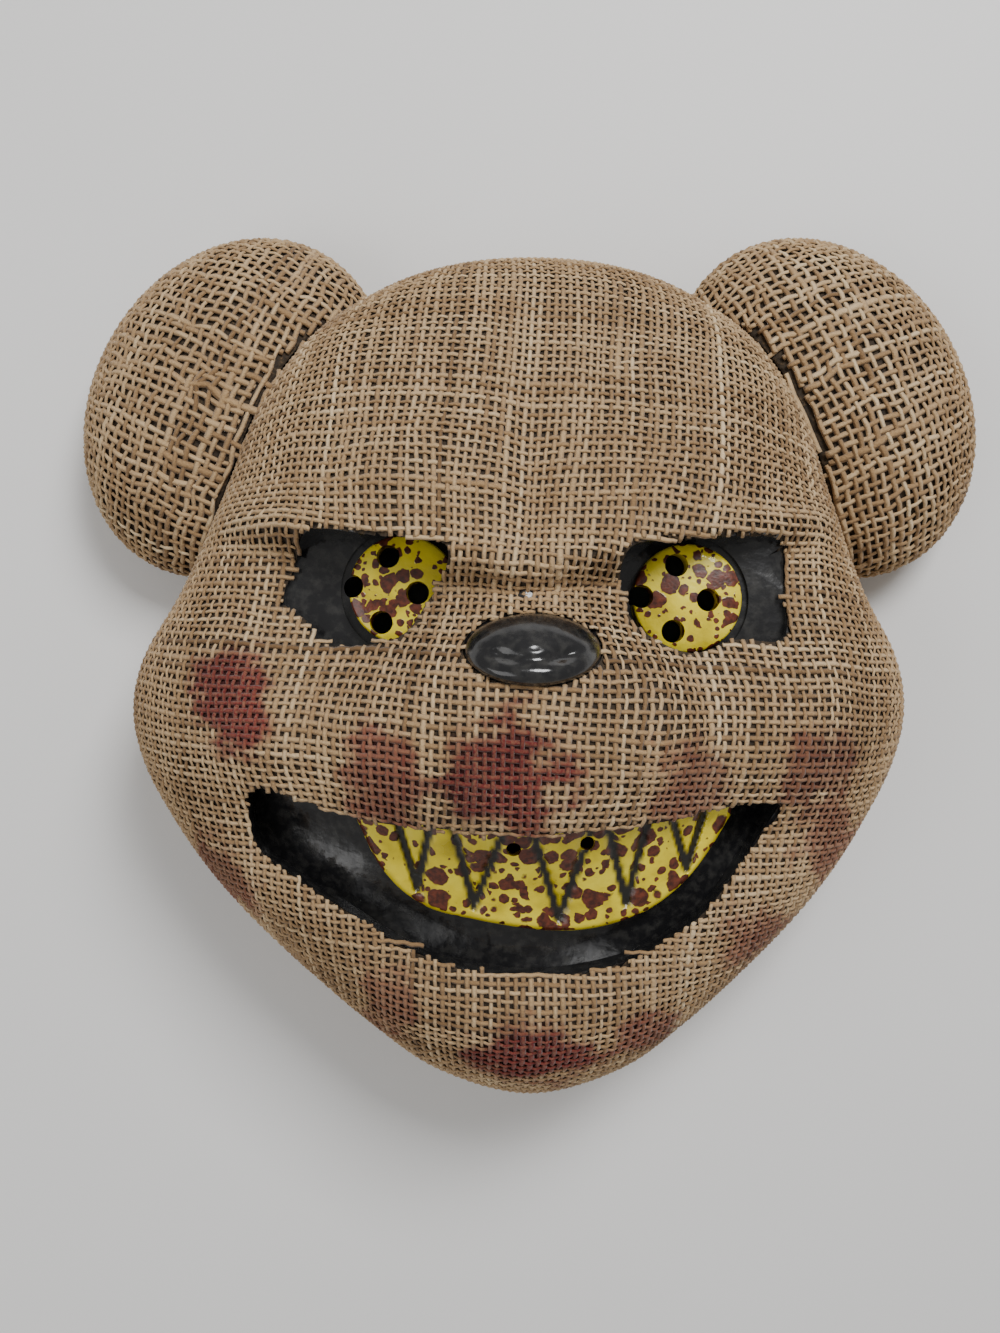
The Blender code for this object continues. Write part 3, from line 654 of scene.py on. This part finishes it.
class Look:
    """A node material with short ways to add its nodes."""

    def __init__(self, name, colour, roughness, **fixed):
        self.mat = bpy.data.materials.new(name)
        self.mat.use_nodes = True
        self.tree = self.mat.node_tree
        self.shader = self.tree.nodes["Principled BSDF"]
        self.shader.inputs["Base Color"].default_value = (*colour, 1.0)
        self.shader.inputs["Roughness"].default_value = roughness
        for label, value in fixed.items():
            self.shader.inputs[label.replace("_", " ")].default_value = value

    def node(self, kind, **values):
        made = self.tree.nodes.new(kind)
        for label, value in values.items():
            setattr(made, label, value)
        return made

    def link(self, start, end):
        self.tree.links.new(start, end)

    def place(self):
        return self.node("ShaderNodeTexCoord").outputs["Object"]

    def noise(self, scale, detail=3.0, stretch=None):
        made = self.node("ShaderNodeTexNoise")
        made.inputs["Scale"].default_value = scale
        made.inputs["Detail"].default_value = detail
        source = self.place()
        if stretch:
            mapping = self.node("ShaderNodeMapping")
            mapping.inputs["Scale"].default_value = stretch
            self.link(source, mapping.inputs["Vector"])
            source = mapping.outputs["Vector"]
        self.link(source, made.inputs["Vector"])
        return made.outputs["Fac"]

    def ramp(self, value, stops):
        made = self.node("ShaderNodeValToRGB")
        elements = made.color_ramp.elements
        while len(elements) < len(stops):
            elements.new(0.5)
        for element, (position, colour) in zip(elements, stops):
            element.position = position
            element.color = (*colour, 1.0)
        self.link(value, made.inputs["Fac"])
        return made.outputs["Color"]

    def mix(self, share, one, two):
        made = self.node("ShaderNodeMix", data_type="RGBA")
        for value, label in ((share, 0), (one, 6), (two, 7)):
            if isinstance(value, bpy.types.NodeSocket):
                self.link(value, made.inputs[label])
            else:
                made.inputs[label].default_value = value
        return made.outputs[2]

    def maths(self, operation, one, two=0.0, three=0.0):
        made = self.node("ShaderNodeMath", operation=operation)
        for value, label in ((one, 0), (two, 1), (three, 2)):
            if isinstance(value, bpy.types.NodeSocket):
                self.link(value, made.inputs[label])
            else:
                made.inputs[label].default_value = value
        return made.outputs[0]

    def attribute(self, name):
        return self.node("ShaderNodeAttribute", attribute_name=name).outputs["Fac"]

    def span(self, value, low, high, out_low, out_high):
        made = self.node("ShaderNodeMapRange")
        made.inputs["From Min"].default_value = low
        made.inputs["From Max"].default_value = high
        made.inputs["To Min"].default_value = out_low
        made.inputs["To Max"].default_value = out_high
        self.link(value, made.inputs["Value"])
        return made.outputs["Result"]

    def colour(self, value):
        self.link(value, self.shader.inputs["Base Color"])

    def rough(self, value, low, high):
        self.link(self.span(value, 0.3, 0.7, low, high), self.shader.inputs["Roughness"])

    def bump(self, value, distance, strength=1.0):
        made = self.node("ShaderNodeBump")
        made.inputs["Distance"].default_value = distance
        made.inputs["Strength"].default_value = strength
        self.link(value, made.inputs["Height"])
        self.link(made.outputs["Normal"], self.shader.inputs["Normal"])


JUTE = (0.42, 0.28, 0.145)


def burlap_look():
    """Jute yarn: each yarn has its own shade, and stains soak in unevenly."""
    look = Look("burlap yarn", JUTE, 0.92, Sheen_Weight=0.15, Specular_IOR_Level=0.2)
    fibres = look.noise(1400.0, 4.0)
    patches = look.noise(28.0, 3.0)
    tone = look.maths("ADD", look.attribute("shade"), look.maths("MULTIPLY", fibres, 0.55))
    tone = look.maths("ADD", tone, look.maths("MULTIPLY", patches, 0.5))
    tone = look.span(tone, 0.45, 1.6, 0.0, 1.0)
    jute = look.ramp(
        tone,
        (
            (0.0, (0.17, 0.098, 0.045)),
            (0.35, (0.33, 0.205, 0.10)),
            (0.65, (0.49, 0.335, 0.18)),
            (1.0, (0.66, 0.50, 0.30)),
        ),
    )
    soaked = look.maths("MULTIPLY", look.attribute("stain"), look.span(fibres, 0.3, 0.6, 0.7, 1.0))
    red = look.ramp(patches, ((0.3, (0.095, 0.012, 0.012)), (0.7, (0.19, 0.030, 0.026))))
    look.colour(look.mix(soaked, jute, red))
    look.rough(fibres, 0.80, 0.98)
    look.bump(fibres, 0.0003)
    return look.mat


def gap_fuzz_and_shade_look():
    """The dark fuzz between the yarns, with the shade that falls into the gaps painted into its colour."""
    look = Look("burlap gaps", (0.055, 0.036, 0.020), 0.95)
    fuzz = look.noise(900.0, 4.0)
    # painted shade: this dark ramp stands for the shade down in the gaps between the yarns, mixed with
    # fuzz
    dark = look.ramp(
        fuzz, ((0.3, (0.016, 0.011, 0.007)), (0.58, (0.05, 0.033, 0.018)), (0.8, (0.16, 0.10, 0.05)))
    )
    look.colour(look.mix(look.attribute("stain"), dark, (0.05, 0.008, 0.007, 1.0)))
    look.rough(fuzz, 0.85, 1.0)
    look.bump(fuzz, 0.0004)
    return look.mat


def plastic_look():
    """Glossy black moulding with slight flow marks and dust."""
    look = Look("black plastic", (0.012, 0.012, 0.013), 0.2, Coat_Weight=0.3)
    dust = look.noise(380.0, 5.0)
    flow = look.noise(60.0, 3.0)
    look.colour(look.ramp(dust, ((0.45, (0.009, 0.009, 0.010)), (0.75, (0.035, 0.034, 0.032)))))
    look.rough(flow, 0.12, 0.32)
    look.bump(look.noise(220.0, 3.0), 0.00035, 0.6)
    return look.mat


def yellow_look(name, spot_scale, spot_size, grooved):
    """Yellow paint with soft mottling and dark red-brown spots."""
    look = Look(name, (0.80, 0.60, 0.02), 0.32, Coat_Weight=0.25)
    mottle = look.noise(90.0, 4.0)
    grain = look.noise(700.0, 3.0)
    paint = look.ramp(
        mottle,
        ((0.30, (0.52, 0.40, 0.012)), (0.50, (0.78, 0.62, 0.02)), (0.72, (0.90, 0.76, 0.05))),
    )
    bent = look.node("ShaderNodeVectorMath", operation="ADD")
    wander = look.node("ShaderNodeTexNoise")
    wander.inputs["Scale"].default_value = 320.0
    look.link(look.place(), wander.inputs["Vector"])
    small = look.node("ShaderNodeVectorMath", operation="SCALE")
    small.inputs["Scale"].default_value = 0.0022
    look.link(wander.outputs["Color"], small.inputs[0])
    look.link(look.place(), bent.inputs[0])
    look.link(small.outputs[0], bent.inputs[1])
    spots = None
    for scale, size in ((spot_scale, spot_size), (spot_scale * 0.55, spot_size * 1.15)):
        cells = look.node("ShaderNodeTexVoronoi")
        cells.inputs["Scale"].default_value = scale
        look.link(bent.outputs[0], cells.inputs["Vector"])
        split = look.node("ShaderNodeSeparateColor")
        look.link(cells.outputs["Color"], split.inputs[0])
        limit = look.maths("MULTIPLY", split.outputs[0], size)
        inside = look.maths("SUBTRACT", limit, cells.outputs["Distance"])
        layer = look.span(inside, 0.0, 0.05, 0.0, 1.0)
        spots = layer if spots is None else look.maths("MAXIMUM", spots, layer)
    brown = look.ramp(grain, ((0.35, (0.05, 0.012, 0.006)), (0.7, (0.16, 0.035, 0.015))))
    colour = look.mix(spots, paint, brown)
    if grooved:
        colour = look.mix(look.attribute("groove"), colour, (0.012, 0.011, 0.009, 1.0))
    look.colour(colour)
    look.rough(mottle, 0.24, 0.42)
    look.bump(look.maths("ADD", grain, look.maths("MULTIPLY", spots, 0.6)), 0.0002, 0.6)
    return look.mat


def elastic_look():
    look = Look("woven elastic", (0.02, 0.02, 0.022), 0.8, Sheen_Weight=0.2)
    ribs = look.node("ShaderNodeTexWave", wave_type="BANDS", bands_direction="Z")
    ribs.inputs["Scale"].default_value = 260.0
    look.link(look.place(), ribs.inputs["Vector"])
    look.colour(look.ramp(ribs.outputs["Fac"], ((0.2, (0.010, 0.010, 0.011)), (0.8, (0.04, 0.04, 0.043)))))
    look.rough(look.noise(500.0), 0.7, 0.9)
    look.bump(ribs.outputs["Fac"], 0.0003)
    return look.mat


def metal_look():
    look = Look("rivet head", (0.45, 0.44, 0.42), 0.35, Metallic=1.0)
    worn = look.noise(420.0, 4.0)
    look.colour(look.ramp(worn, ((0.35, (0.30, 0.29, 0.27)), (0.65, (0.52, 0.51, 0.49)))))
    look.rough(worn, 0.28, 0.5)
    look.bump(worn, 0.00015)
    return look.mat


def floor_look():
    look = Look("pale floor", (0.80, 0.79, 0.78), 0.6)
    tone = look.noise(3.0, 4.0)
    look.colour(look.ramp(tone, ((0.3, (0.78, 0.775, 0.765)), (0.7, (0.82, 0.815, 0.81)))))
    return look.mat


def finish(obj, mat, node_slot, *nodes):
    """Give a piece its material and body, and hide the nodes that it stands for; node_slot is not used."""
    obj.data.materials.clear()
    obj.data.materials.append(mat)
    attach(obj, "root")
    if nodes:
        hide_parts(*nodes)
    return obj


def head_form(name, offset, foot, spokes=144, rings=56, walls=6):
    """The head as a closed solid, grown outwards by offset and cut level at foot."""
    turns = (math.tau * np.arange(spokes) / spokes)[None, :]
    drops = [(i + 1) / walls for i in range(walls)]
    if foot < 0:
        drops.append(1 - foot / BULGE_HEIGHT)
    dips = (np.arange(rings) + 1)[:, None] / rings
    rows = np.concatenate(
        (dome_points(turns, dips), wall_points(turns, np.array(drops)[:, None]))
    )
    bm = bmesh.new()
    top = bm.verts.new(dome_points(np.array(0.0), np.array(0.0)))
    made = [[bm.verts.new(p) for p in row] for row in rows]
    for k in range(spokes):
        after = (k + 1) % spokes
        bm.faces.new((top, made[0][after], made[0][k]))
        for upper, lower in zip(made, made[1:]):
            bm.faces.new((upper[k], upper[after], lower[after]))
            bm.faces.new((upper[k], lower[after], lower[k]))
    bm.normal_update()
    outward = {v: v.normal.copy() for v in bm.verts}
    for v, n in outward.items():
        v.co += n * offset
    for v in made[-1]:
        v.co.z = foot
    bm.faces.new(made[-1])
    return bmesh_object(name, bm)


def bmesh_object(name, bm):
    bmesh.ops.recalc_face_normals(bm, faces=bm.faces)
    mesh = bpy.data.meshes.new(name)
    bm.to_mesh(mesh)
    bm.free()
    obj = bpy.data.objects.new(name, mesh)
    bpy.context.scene.collection.objects.link(obj)
    return obj


def prism(name, outline, foot=-0.03, top=0.16):
    """An upright solid over an outline on the plan."""
    bm = bmesh.new()
    low = [bm.verts.new((x, y, foot)) for x, y in outline]
    high = [bm.verts.new((x, y, top)) for x, y in outline]
    bm.faces.new(low)
    bm.faces.new(high)
    for i in range(len(outline)):
        k = (i + 1) % len(outline)
        bm.faces.new((low[i], low[k], high[k], high[i]))
    return bmesh_object(name, bm)


def grown(outline, distance):
    """A closed outline that runs anticlockwise, moved outwards."""
    before = outline - np.roll(outline, 1, axis=0)
    after = np.roll(outline, -1, axis=0) - outline
    before /= np.linalg.norm(before, axis=1, keepdims=True)
    after /= np.linalg.norm(after, axis=1, keepdims=True)
    side = np.stack((before[:, 1] + after[:, 1], -before[:, 0] - after[:, 0]), axis=-1)
    side /= np.linalg.norm(side, axis=1, keepdims=True)
    return outline + side * distance


def cut(obj, *cutters, operation="DIFFERENCE"):
    """Cut obj by each cutter, apply the result and delete the cutters."""
    for cutter in cutters:
        step = obj.modifiers.new("cut", "BOOLEAN")
        step.operation = operation
        step.solver = "MANIFOLD"
        step.object = cutter
    graph = bpy.context.evaluated_depsgraph_get()
    mesh = bpy.data.meshes.new_from_object(obj.evaluated_get(graph))
    obj.modifiers.clear()
    old = obj.data
    obj.data = mesh
    bpy.data.meshes.remove(old)
    for cutter in cutters:
        bpy.data.objects.remove(cutter)
    return obj


def copy_lowered(form, name, drop):
    made = bpy.data.objects.new(name, form.data.copy())
    made.data.transform(Matrix.Translation((0.0, 0.0, -drop)))
    bpy.context.scene.collection.objects.link(made)
    return made


def make_shell(mat):
    """The moulded face with its pockets, stepped floors and pierced holes."""
    form = head_form("form", -GAP / 2, -0.005)
    shell = head_form("shell_moulding", -GAP / 2, 0.0)
    hollow = head_form("hollow", -GAP / 2 - SHELL_WALL, -0.005)
    mouth = prism("mouth", mouth_outline(LIP_TUCK))
    cut(mouth, copy_lowered(form, "floor", MOUTH_DEPTH))
    backing = prism("backing", grown(mouth_outline(LIP_TUCK), SHELL_WALL))
    cut(backing, copy_lowered(form, "floor", MOUTH_DEPTH + SHELL_WALL))
    pockets, backings, holes = [mouth], [backing], []
    for lens in LENSES:
        opening = socket_outline(lens.side)
        x, y = socket_place(lens.side, lens)
        seat = oval(x, y, LENS_RADIUS + LENS_MARGIN, LENS_RADIUS + LENS_MARGIN, 64)
        pockets.append(prism("socket", opening, SOCKET_FLOOR + STEP_UP))
        pockets.append(prism("seat", seat, SOCKET_FLOOR))
        back = SOCKET_FLOOR - SHELL_WALL
        backings.append(prism("socket back", grown(opening, SHELL_WALL), back))
        backings.append(prism("seat back", grown(seat, SHELL_WALL), back))
        for hx, hy in vision_holes(lens):
            holes.append(prism("hole", oval(hx, hy, VISION_HOLE_RADIUS, VISION_HOLE_RADIUS, 24)))
    for c in BREATH_HOLES:
        hx, hy = teeth_place(c.across, c.up)
        holes.append(prism("hole", oval(hx, hy, BREATH_HOLE_RADIUS, BREATH_HOLE_RADIUS, 16)))
    cut(hollow, *backings)
    cut(shell, *pockets)
    cut(shell, hollow)
    cut(shell, *holes)
    bpy.data.objects.remove(form)
    shell.data.shade_smooth()
    shell.data.set_sharp_from_angle(angle=math.radians(38))
    return finish(shell, mat, "shell", "face_shell")


def make_fuzz_and_shade_sheet(chart, mat):
    """The thin sheet under the yarns, dark with fuzz and painted shade for the gaps between them, whose
    edges meet the openings.
    """
    spokes, rings = 220, 110
    turns = math.tau * np.arange(spokes) / spokes
    shares = np.linspace(0.012, 1.0, rings)
    ends = np.interp(turns, math.tau * np.arange(chart.turns) / chart.turns, chart.ends, period=math.tau)
    u = np.sin(turns)[:, None] * ends[:, None] * shares
    v = np.cos(turns)[:, None] * ends[:, None] * shares
    points, normals, _ = chart.sample(u, v)
    distance = opening_distance(points)
    snap = 0.0009
    step = 1e-5
    slope = np.stack(
        (
            opening_distance(points + (step, 0, 0)) - distance,
            opening_distance(points + (0, step, 0)) - distance,
        ),
        axis=-1,
    )
    slope /= np.maximum(np.linalg.norm(slope, axis=-1, keepdims=True), 1e-12)
    near = np.abs(distance) < snap
    shift = np.where(near[..., None], slope * -distance[..., None], 0.0)
    points = points.copy()
    points[..., :2] += shift
    points += normals * SHEET_LIFT
    distance = np.where(near, 0.0, distance)
    index = np.arange(spokes * rings).reshape(spokes, rings)
    after = np.roll(index, -1, axis=0)
    quads = np.stack((index[:, :-1], after[:, :-1], after[:, 1:], index[:, 1:]), axis=-1)
    flat = distance.ravel()
    quads = quads.reshape(-1, 4)
    quads = quads[(flat[quads].min(1) >= 0) & (flat[quads].max(1) > 0)]
    used, packed = np.unique(quads, return_inverse=True)
    quads = packed.reshape(-1, 4)
    points = points.reshape(-1, 3)[used]
    obj = mesh_object("burlap_backing", points, quads, {"stain": stain_share(points)})
    # the sheet takes the dark fuzz and painted gap shade colour
    finish(obj, mat, "burlap")
    return obj


def make_head_weave(chart, mat):
    """The two sets of yarns over the head, each in two pieces that halve it."""

    def keep(points, fray):
        return opening_distance(points) > 0.0001 - fray

    reach = chart.ends.max()
    for way, names in enumerate((("upright_left", "upright_right"), ("level_lower", "level_upper"))):
        pieces = [Strands() for _ in names]
        weave(pieces, chart.sample, reach, YARN_PITCH, -3.0, way, keep, 11)
        for name, strands in zip(names, pieces):
            finish(strands.build(f"burlap_yarns_{name}"), mat, "burlap", "burlap_cover")


def make_ear(side, yarn, gap_fuzz_and_shade):
    """A padded ear: an inner skin dark with fuzz and painted shade for the gaps, and a looser weave all
    over it.
    """
    chart = ear_chart(side)
    turns = math.tau * np.arange(120) / 120
    rows = smooth_loop(EAR_SECTIONS, 5, closed=False)[1:]
    rows = rows[:-1]
    points = ear_points(side, turns, rows)
    middle = ear_frame(side)[0]
    bm = bmesh.new()
    peak = bm.verts.new((*middle, EAR_BACK + EAR_THICKNESS))
    rings = [[bm.verts.new(p) for p in points[:, k]] for k in range(points.shape[1])]
    for i in range(len(turns)):
        k = (i + 1) % len(turns)
        bm.faces.new((peak, rings[0][k], rings[0][i]))
        for upper, lower in zip(rings, rings[1:]):
            bm.faces.new((upper[i], upper[k], lower[k], lower[i]))
    bm.faces.new(rings[-1])
    skin = bmesh_object(f"ear_{side}_padding", bm)
    cut(skin, head_form("seat", GAP / 2 + CLOTH + GAP, -0.005, 96, 36, 4))
    skin.data.shade_smooth()
    skin.data.attributes.new("stain", "FLOAT", "POINT")
    # the skin is coloured with the dark fuzz and painted shade that show between the yarns
    finish(skin, gap_fuzz_and_shade, "burlap", f"ear_{side}")

    def keep(path, fray):
        return clear_of_head(path, 0.0016 - fray)

    def back_sample(u, v):
        x, y = u + middle[0], v + middle[1]
        found = np.stack((x, y, np.full_like(x, EAR_BACK)), axis=-1)
        matrix = np.linalg.inv(np.stack(ear_frame(side)[1:], axis=-1))
        share = np.linalg.norm(np.stack((u, v), axis=-1) @ matrix.T, axis=-1)
        down = np.broadcast_to((0.0, 0.0, -1.0), found.shape)
        return found, down, share < 0.95

    sign = 1 if side == "right" else -1
    strands = Strands()
    for way in (0, 1):
        weave([strands], chart.sample, chart.ends.max(), EAR_PITCH, sign * 24.0, way, keep, 31 + sign)
        weave([strands], back_sample, EAR_LENGTH / 2, EAR_PITCH, sign * 24.0, way, keep, 41 + sign)
    return finish(strands.build(f"ear_{side}_yarns"), yarn, "burlap")


def make_lens(lens, mat):
    """One thick disc with a crowned face, rounded edges and four holes."""
    x, y = socket_place(lens.side, lens)
    foot = SOCKET_FLOOR + GAP
    top = foot + LENS_THICKNESS
    bm = bmesh.new()
    sides = 96
    profile = ((1.0, foot), (1.0, top - 0.0010), (0.985, top - 0.0004), (0.955, top))
    profile += tuple(
        (r, top + LENS_CROWN * (1 - (r / 0.955) ** 2)) for r in (0.80, 0.60, 0.40, 0.20)
    )
    rings = []
    for share, z in profile:
        rim = oval(x, y, LENS_RADIUS * share, LENS_RADIUS * share, sides)
        rings.append([bm.verts.new((px, py, z)) for px, py in rim])
    bm.faces.new(rings[0])
    peak = bm.verts.new((x, y, top + LENS_CROWN))
    for i in range(sides):
        k = (i + 1) % sides
        bm.faces.new((rings[-1][i], rings[-1][k], peak))
        for lower, upper in zip(rings, rings[1:]):
            bm.faces.new((lower[i], lower[k], upper[k], upper[i]))
    disc = bmesh_object(f"eye_disc_{lens.side}", bm)
    holes = [
        prism("hole", oval(hx, hy, VISION_HOLE_RADIUS, VISION_HOLE_RADIUS, 32))
        for hx, hy in vision_holes(lens)
    ]
    cut(disc, *holes)
    soften = disc.modifiers.new("soft edges", "BEVEL")
    soften.width = 0.0004
    soften.segments = 2
    soften.limit_method = "ANGLE"
    soften.angle_limit = math.radians(40)
    disc.data.shade_smooth()
    disc.data.set_sharp_from_angle(angle=math.radians(50))
    return finish(disc, mat, "yellow", f"eye_lens_{lens.side}")


def groove_distance(x, y):
    """How far places on the teeth lie from the nearest groove's middle line."""
    found = np.full(np.shape(x), 1.0)
    for groove in GROOVES:
        tip = teeth_place(groove.tip, -groove.drop)
        for across in (groove.left, groove.right):
            top = np.array((across * TEETH_WIDTH / 2, MOUTH_TOP + 0.001))
            along = tip - top
            t = ((x - top[0]) * along[0] + (y - top[1]) * along[1]) / (along @ along)
            t = np.clip(t, 0.0, 1.0)
            found = np.minimum(
                found, np.hypot(x - top[0] - along[0] * t, y - top[1] - along[1] * t)
            )
    return found


def make_teeth(mat):
    """The plate of teeth: a rounded lower edge, and grooves that hang from the lip."""
    edge = smooth_loop([teeth_place(c.across, c.up) for c in TEETH], 12, closed=False)
    edge = edge[np.argsort(edge[:, 0])]
    lip = np.array([mouth_place(c) for c in LIP])
    across, down = 160, 48
    share = 0.5 - 0.5 * np.cos(np.linspace(0, math.pi, across))
    x = edge[0, 0] + (edge[-1, 0] - edge[0, 0]) * share
    top = np.interp(x, lip[:, 0], lip[:, 1]) + LIP_TUCK / 2
    low = np.minimum(np.interp(x, edge[:, 0], edge[:, 1]), top - 0.0006)
    v = np.linspace(0.0, 1.0, down)
    y = top[:, None] + (low - top)[:, None] * v
    x = np.broadcast_to(x[:, None], y.shape)
    base = surface_height(x, y) - GAP / 2 - MOUTH_DEPTH + GAP
    outline = np.concatenate((np.stack((x[:, 0], y[:, 0]), -1), np.stack((x[::-1, -1], y[::-1, -1]), -1)))
    inner = -edge_distance(np.stack((x, y), axis=-1), anticlockwise(outline))
    inner = np.maximum(inner, 0.0)
    rounding = 0.0022
    fall = rounding * (1 - np.sqrt(1 - (1 - np.minimum(inner / rounding, 1.0)) ** 2))
    apart = groove_distance(x, y)
    groove = 1 - ease(apart, 0.35 * GROOVE_WIDTH, 0.62 * GROOVE_WIDTH)
    pillow = 0.0008 * ease(apart, 0.0, 0.006)
    front = base + TEETH_THICKNESS - 0.0008 + pillow - fall - GROOVE_DEPTH * groove
    points = np.concatenate(
        (np.stack((x, y, front), axis=-1).reshape(-1, 3), np.stack((x, y, base), axis=-1).reshape(-1, 3))
    )
    index = np.arange(across * down).reshape(across, down)
    back = index + across * down
    quads = [np.stack((index[:-1, :-1], index[:-1, 1:], index[1:, 1:], index[1:, :-1]), -1).reshape(-1, 4)]
    quads.append(np.stack((back[:-1, :-1], back[1:, :-1], back[1:, 1:], back[:-1, 1:]), -1).reshape(-1, 4))
    loop = np.concatenate((index[:, 0], index[-1, 1:], index[-2::-1, -1], index[0, -2:0:-1]))
    after = np.roll(loop, -1)
    quads.append(np.stack((loop, after, after + across * down, loop + across * down), axis=-1))
    paint = np.concatenate((groove.ravel(), groove.ravel() * 0))
    plate = mesh_object("teeth_moulding", points, np.concatenate(quads), {"groove": paint})
    bm = bmesh.new()
    bm.from_mesh(plate.data)
    bmesh.ops.recalc_face_normals(bm, faces=bm.faces)
    bm.to_mesh(plate.data)
    bm.free()
    holes = []
    for c in BREATH_HOLES:
        hx, hy = teeth_place(c.across, c.up)
        holes.append(prism("hole", oval(hx, hy, BREATH_HOLE_RADIUS, BREATH_HOLE_RADIUS, 24)))
    cut(plate, *holes)
    plate.data.shade_smooth()
    plate.data.set_sharp_from_angle(angle=math.radians(55))
    return finish(plate, mat, "yellow", "teeth_plate")


def make_nose(mat):
    """The glossy oval, with a curved ridge over two shallow nostrils."""
    rings, sides = 28, 96
    share = np.sin(np.linspace(0.0, math.pi / 2, rings))[1:]
    a = math.tau * np.arange(sides) / sides
    x = NOSE_ACROSS + np.outer(share, np.cos(a)) * (NOSE_WIDTH / 2 - GAP)
    y = NOSE_UP + np.outer(share, np.sin(a)) * (NOSE_HEIGHT / 2 - GAP)
    base = surface_height(x, y) + GAP / 2
    swell = (CLOTH + NOSE_RISE) * np.sqrt(np.maximum(0.0, 1 - share[:, None] ** 4))
    u = (x - NOSE_ACROSS) / (NOSE_WIDTH / 2)
    v = (y - NOSE_UP) / (NOSE_HEIGHT / 2)
    crease = np.exp(-(((v + 0.30 - 0.55 * u**2) / 0.16) ** 2)) * np.exp(-((u / 0.75) ** 4))
    nostril = np.exp(-(((np.abs(u) - 0.42) / 0.20) ** 2) - ((v + 0.15) / 0.28) ** 2)
    top = base + 0.0004 + swell - 0.0011 * crease - 0.0016 * nostril
    points = np.stack((x, y, top), axis=-1).reshape(-1, 3)
    peak_z = surface_height(NOSE_ACROSS, NOSE_UP) + GAP / 2 + CLOTH + NOSE_RISE
    foot = np.stack((x[-1], y[-1], base[-1]), axis=-1)
    bm = bmesh.new()
    peak = bm.verts.new((NOSE_ACROSS, NOSE_UP, float(peak_z)))
    made = [[bm.verts.new(p) for p in row] for row in points.reshape(rings - 1, sides, 3)]
    made.append([bm.verts.new(p) for p in foot])
    for i in range(sides):
        k = (i + 1) % sides
        bm.faces.new((peak, made[0][i], made[0][k]))
        for inner, outer in zip(made, made[1:]):
            bm.faces.new((inner[i], outer[i], outer[k], inner[k]))
    bm.faces.new(made[-1])
    nose = bmesh_object("nose_moulding", bm)
    nose.data.shade_smooth()
    return finish(nose, mat, "shell", "nose")


def light(name, place, energy, size, target=(0.0, 0.0, 0.05)):
    data = bpy.data.lights.new(name, "AREA")
    data.energy = energy
    data.size = size
    obj = bpy.data.objects.new(name, data)
    obj.location = place
    way = Vector(target) - Vector(place)
    obj.rotation_euler = way.to_track_quat("-Z", "Y").to_euler()
    bpy.context.scene.collection.objects.link(obj)


def make_studio():
    """A pale floor, soft lights and the camera, straight above as in the photo."""
    bm = bmesh.new()
    bmesh.ops.create_grid(bm, x_segments=1, y_segments=1, size=2.5)
    floor = bmesh_object("floor", bm)
    floor.data.materials.append(floor_look())
    world = bpy.data.worlds.new("studio")
    bpy.context.scene.world = world
    world.use_nodes = True
    world.node_tree.nodes["Background"].inputs["Color"].default_value = (1.0, 0.985, 0.96, 1.0)
    world.node_tree.nodes["Background"].inputs["Strength"].default_value = 0.35
    light("key", (0.35, 0.65, 1.0), 14.0, 0.45)
    light("fill", (-0.8, -0.3, 0.9), 4.0, 0.8)
    camera_data = bpy.data.cameras.new("camera")
    camera_data.sensor_fit = "HORIZONTAL"
    camera_data.sensor_width = 36.0
    camera_data.lens = 43.9
    camera_data.clip_start = 0.01
    camera = bpy.data.objects.new("camera", camera_data)
    camera.location = (-0.0096, -0.0029, 0.420)
    bpy.context.scene.collection.objects.link(camera)
    bpy.context.scene.camera = camera


def main():
    make_studio()
    yarn = burlap_look()
    # the gap colour is fuzz with painted shade for the gaps between the yarns
    gap_fuzz_and_shade = gap_fuzz_and_shade_look()
    black = plastic_look()
    chart = head_chart()
    make_shell(black)
    make_fuzz_and_shade_sheet(chart, gap_fuzz_and_shade)
    make_head_weave(chart, yarn)
    for side in ("left", "right"):
        make_ear(side, yarn, gap_fuzz_and_shade)
    discs = yellow_look("yellow disc", 420.0, 0.62, False)
    for lens in LENSES:
        make_lens(lens, discs)
    make_teeth(yellow_look("yellow teeth", 300.0, 0.62, True))
    make_nose(black)
    for node, mat in (
        ("head_strap", elastic_look()),
        ("strap_rivet_left", metal_look()),
        ("strap_rivet_right", metal_look()),
    ):
        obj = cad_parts[node]
        for i in range(len(obj.material_slots)):
            obj.material_slots[i].material = mat


main()
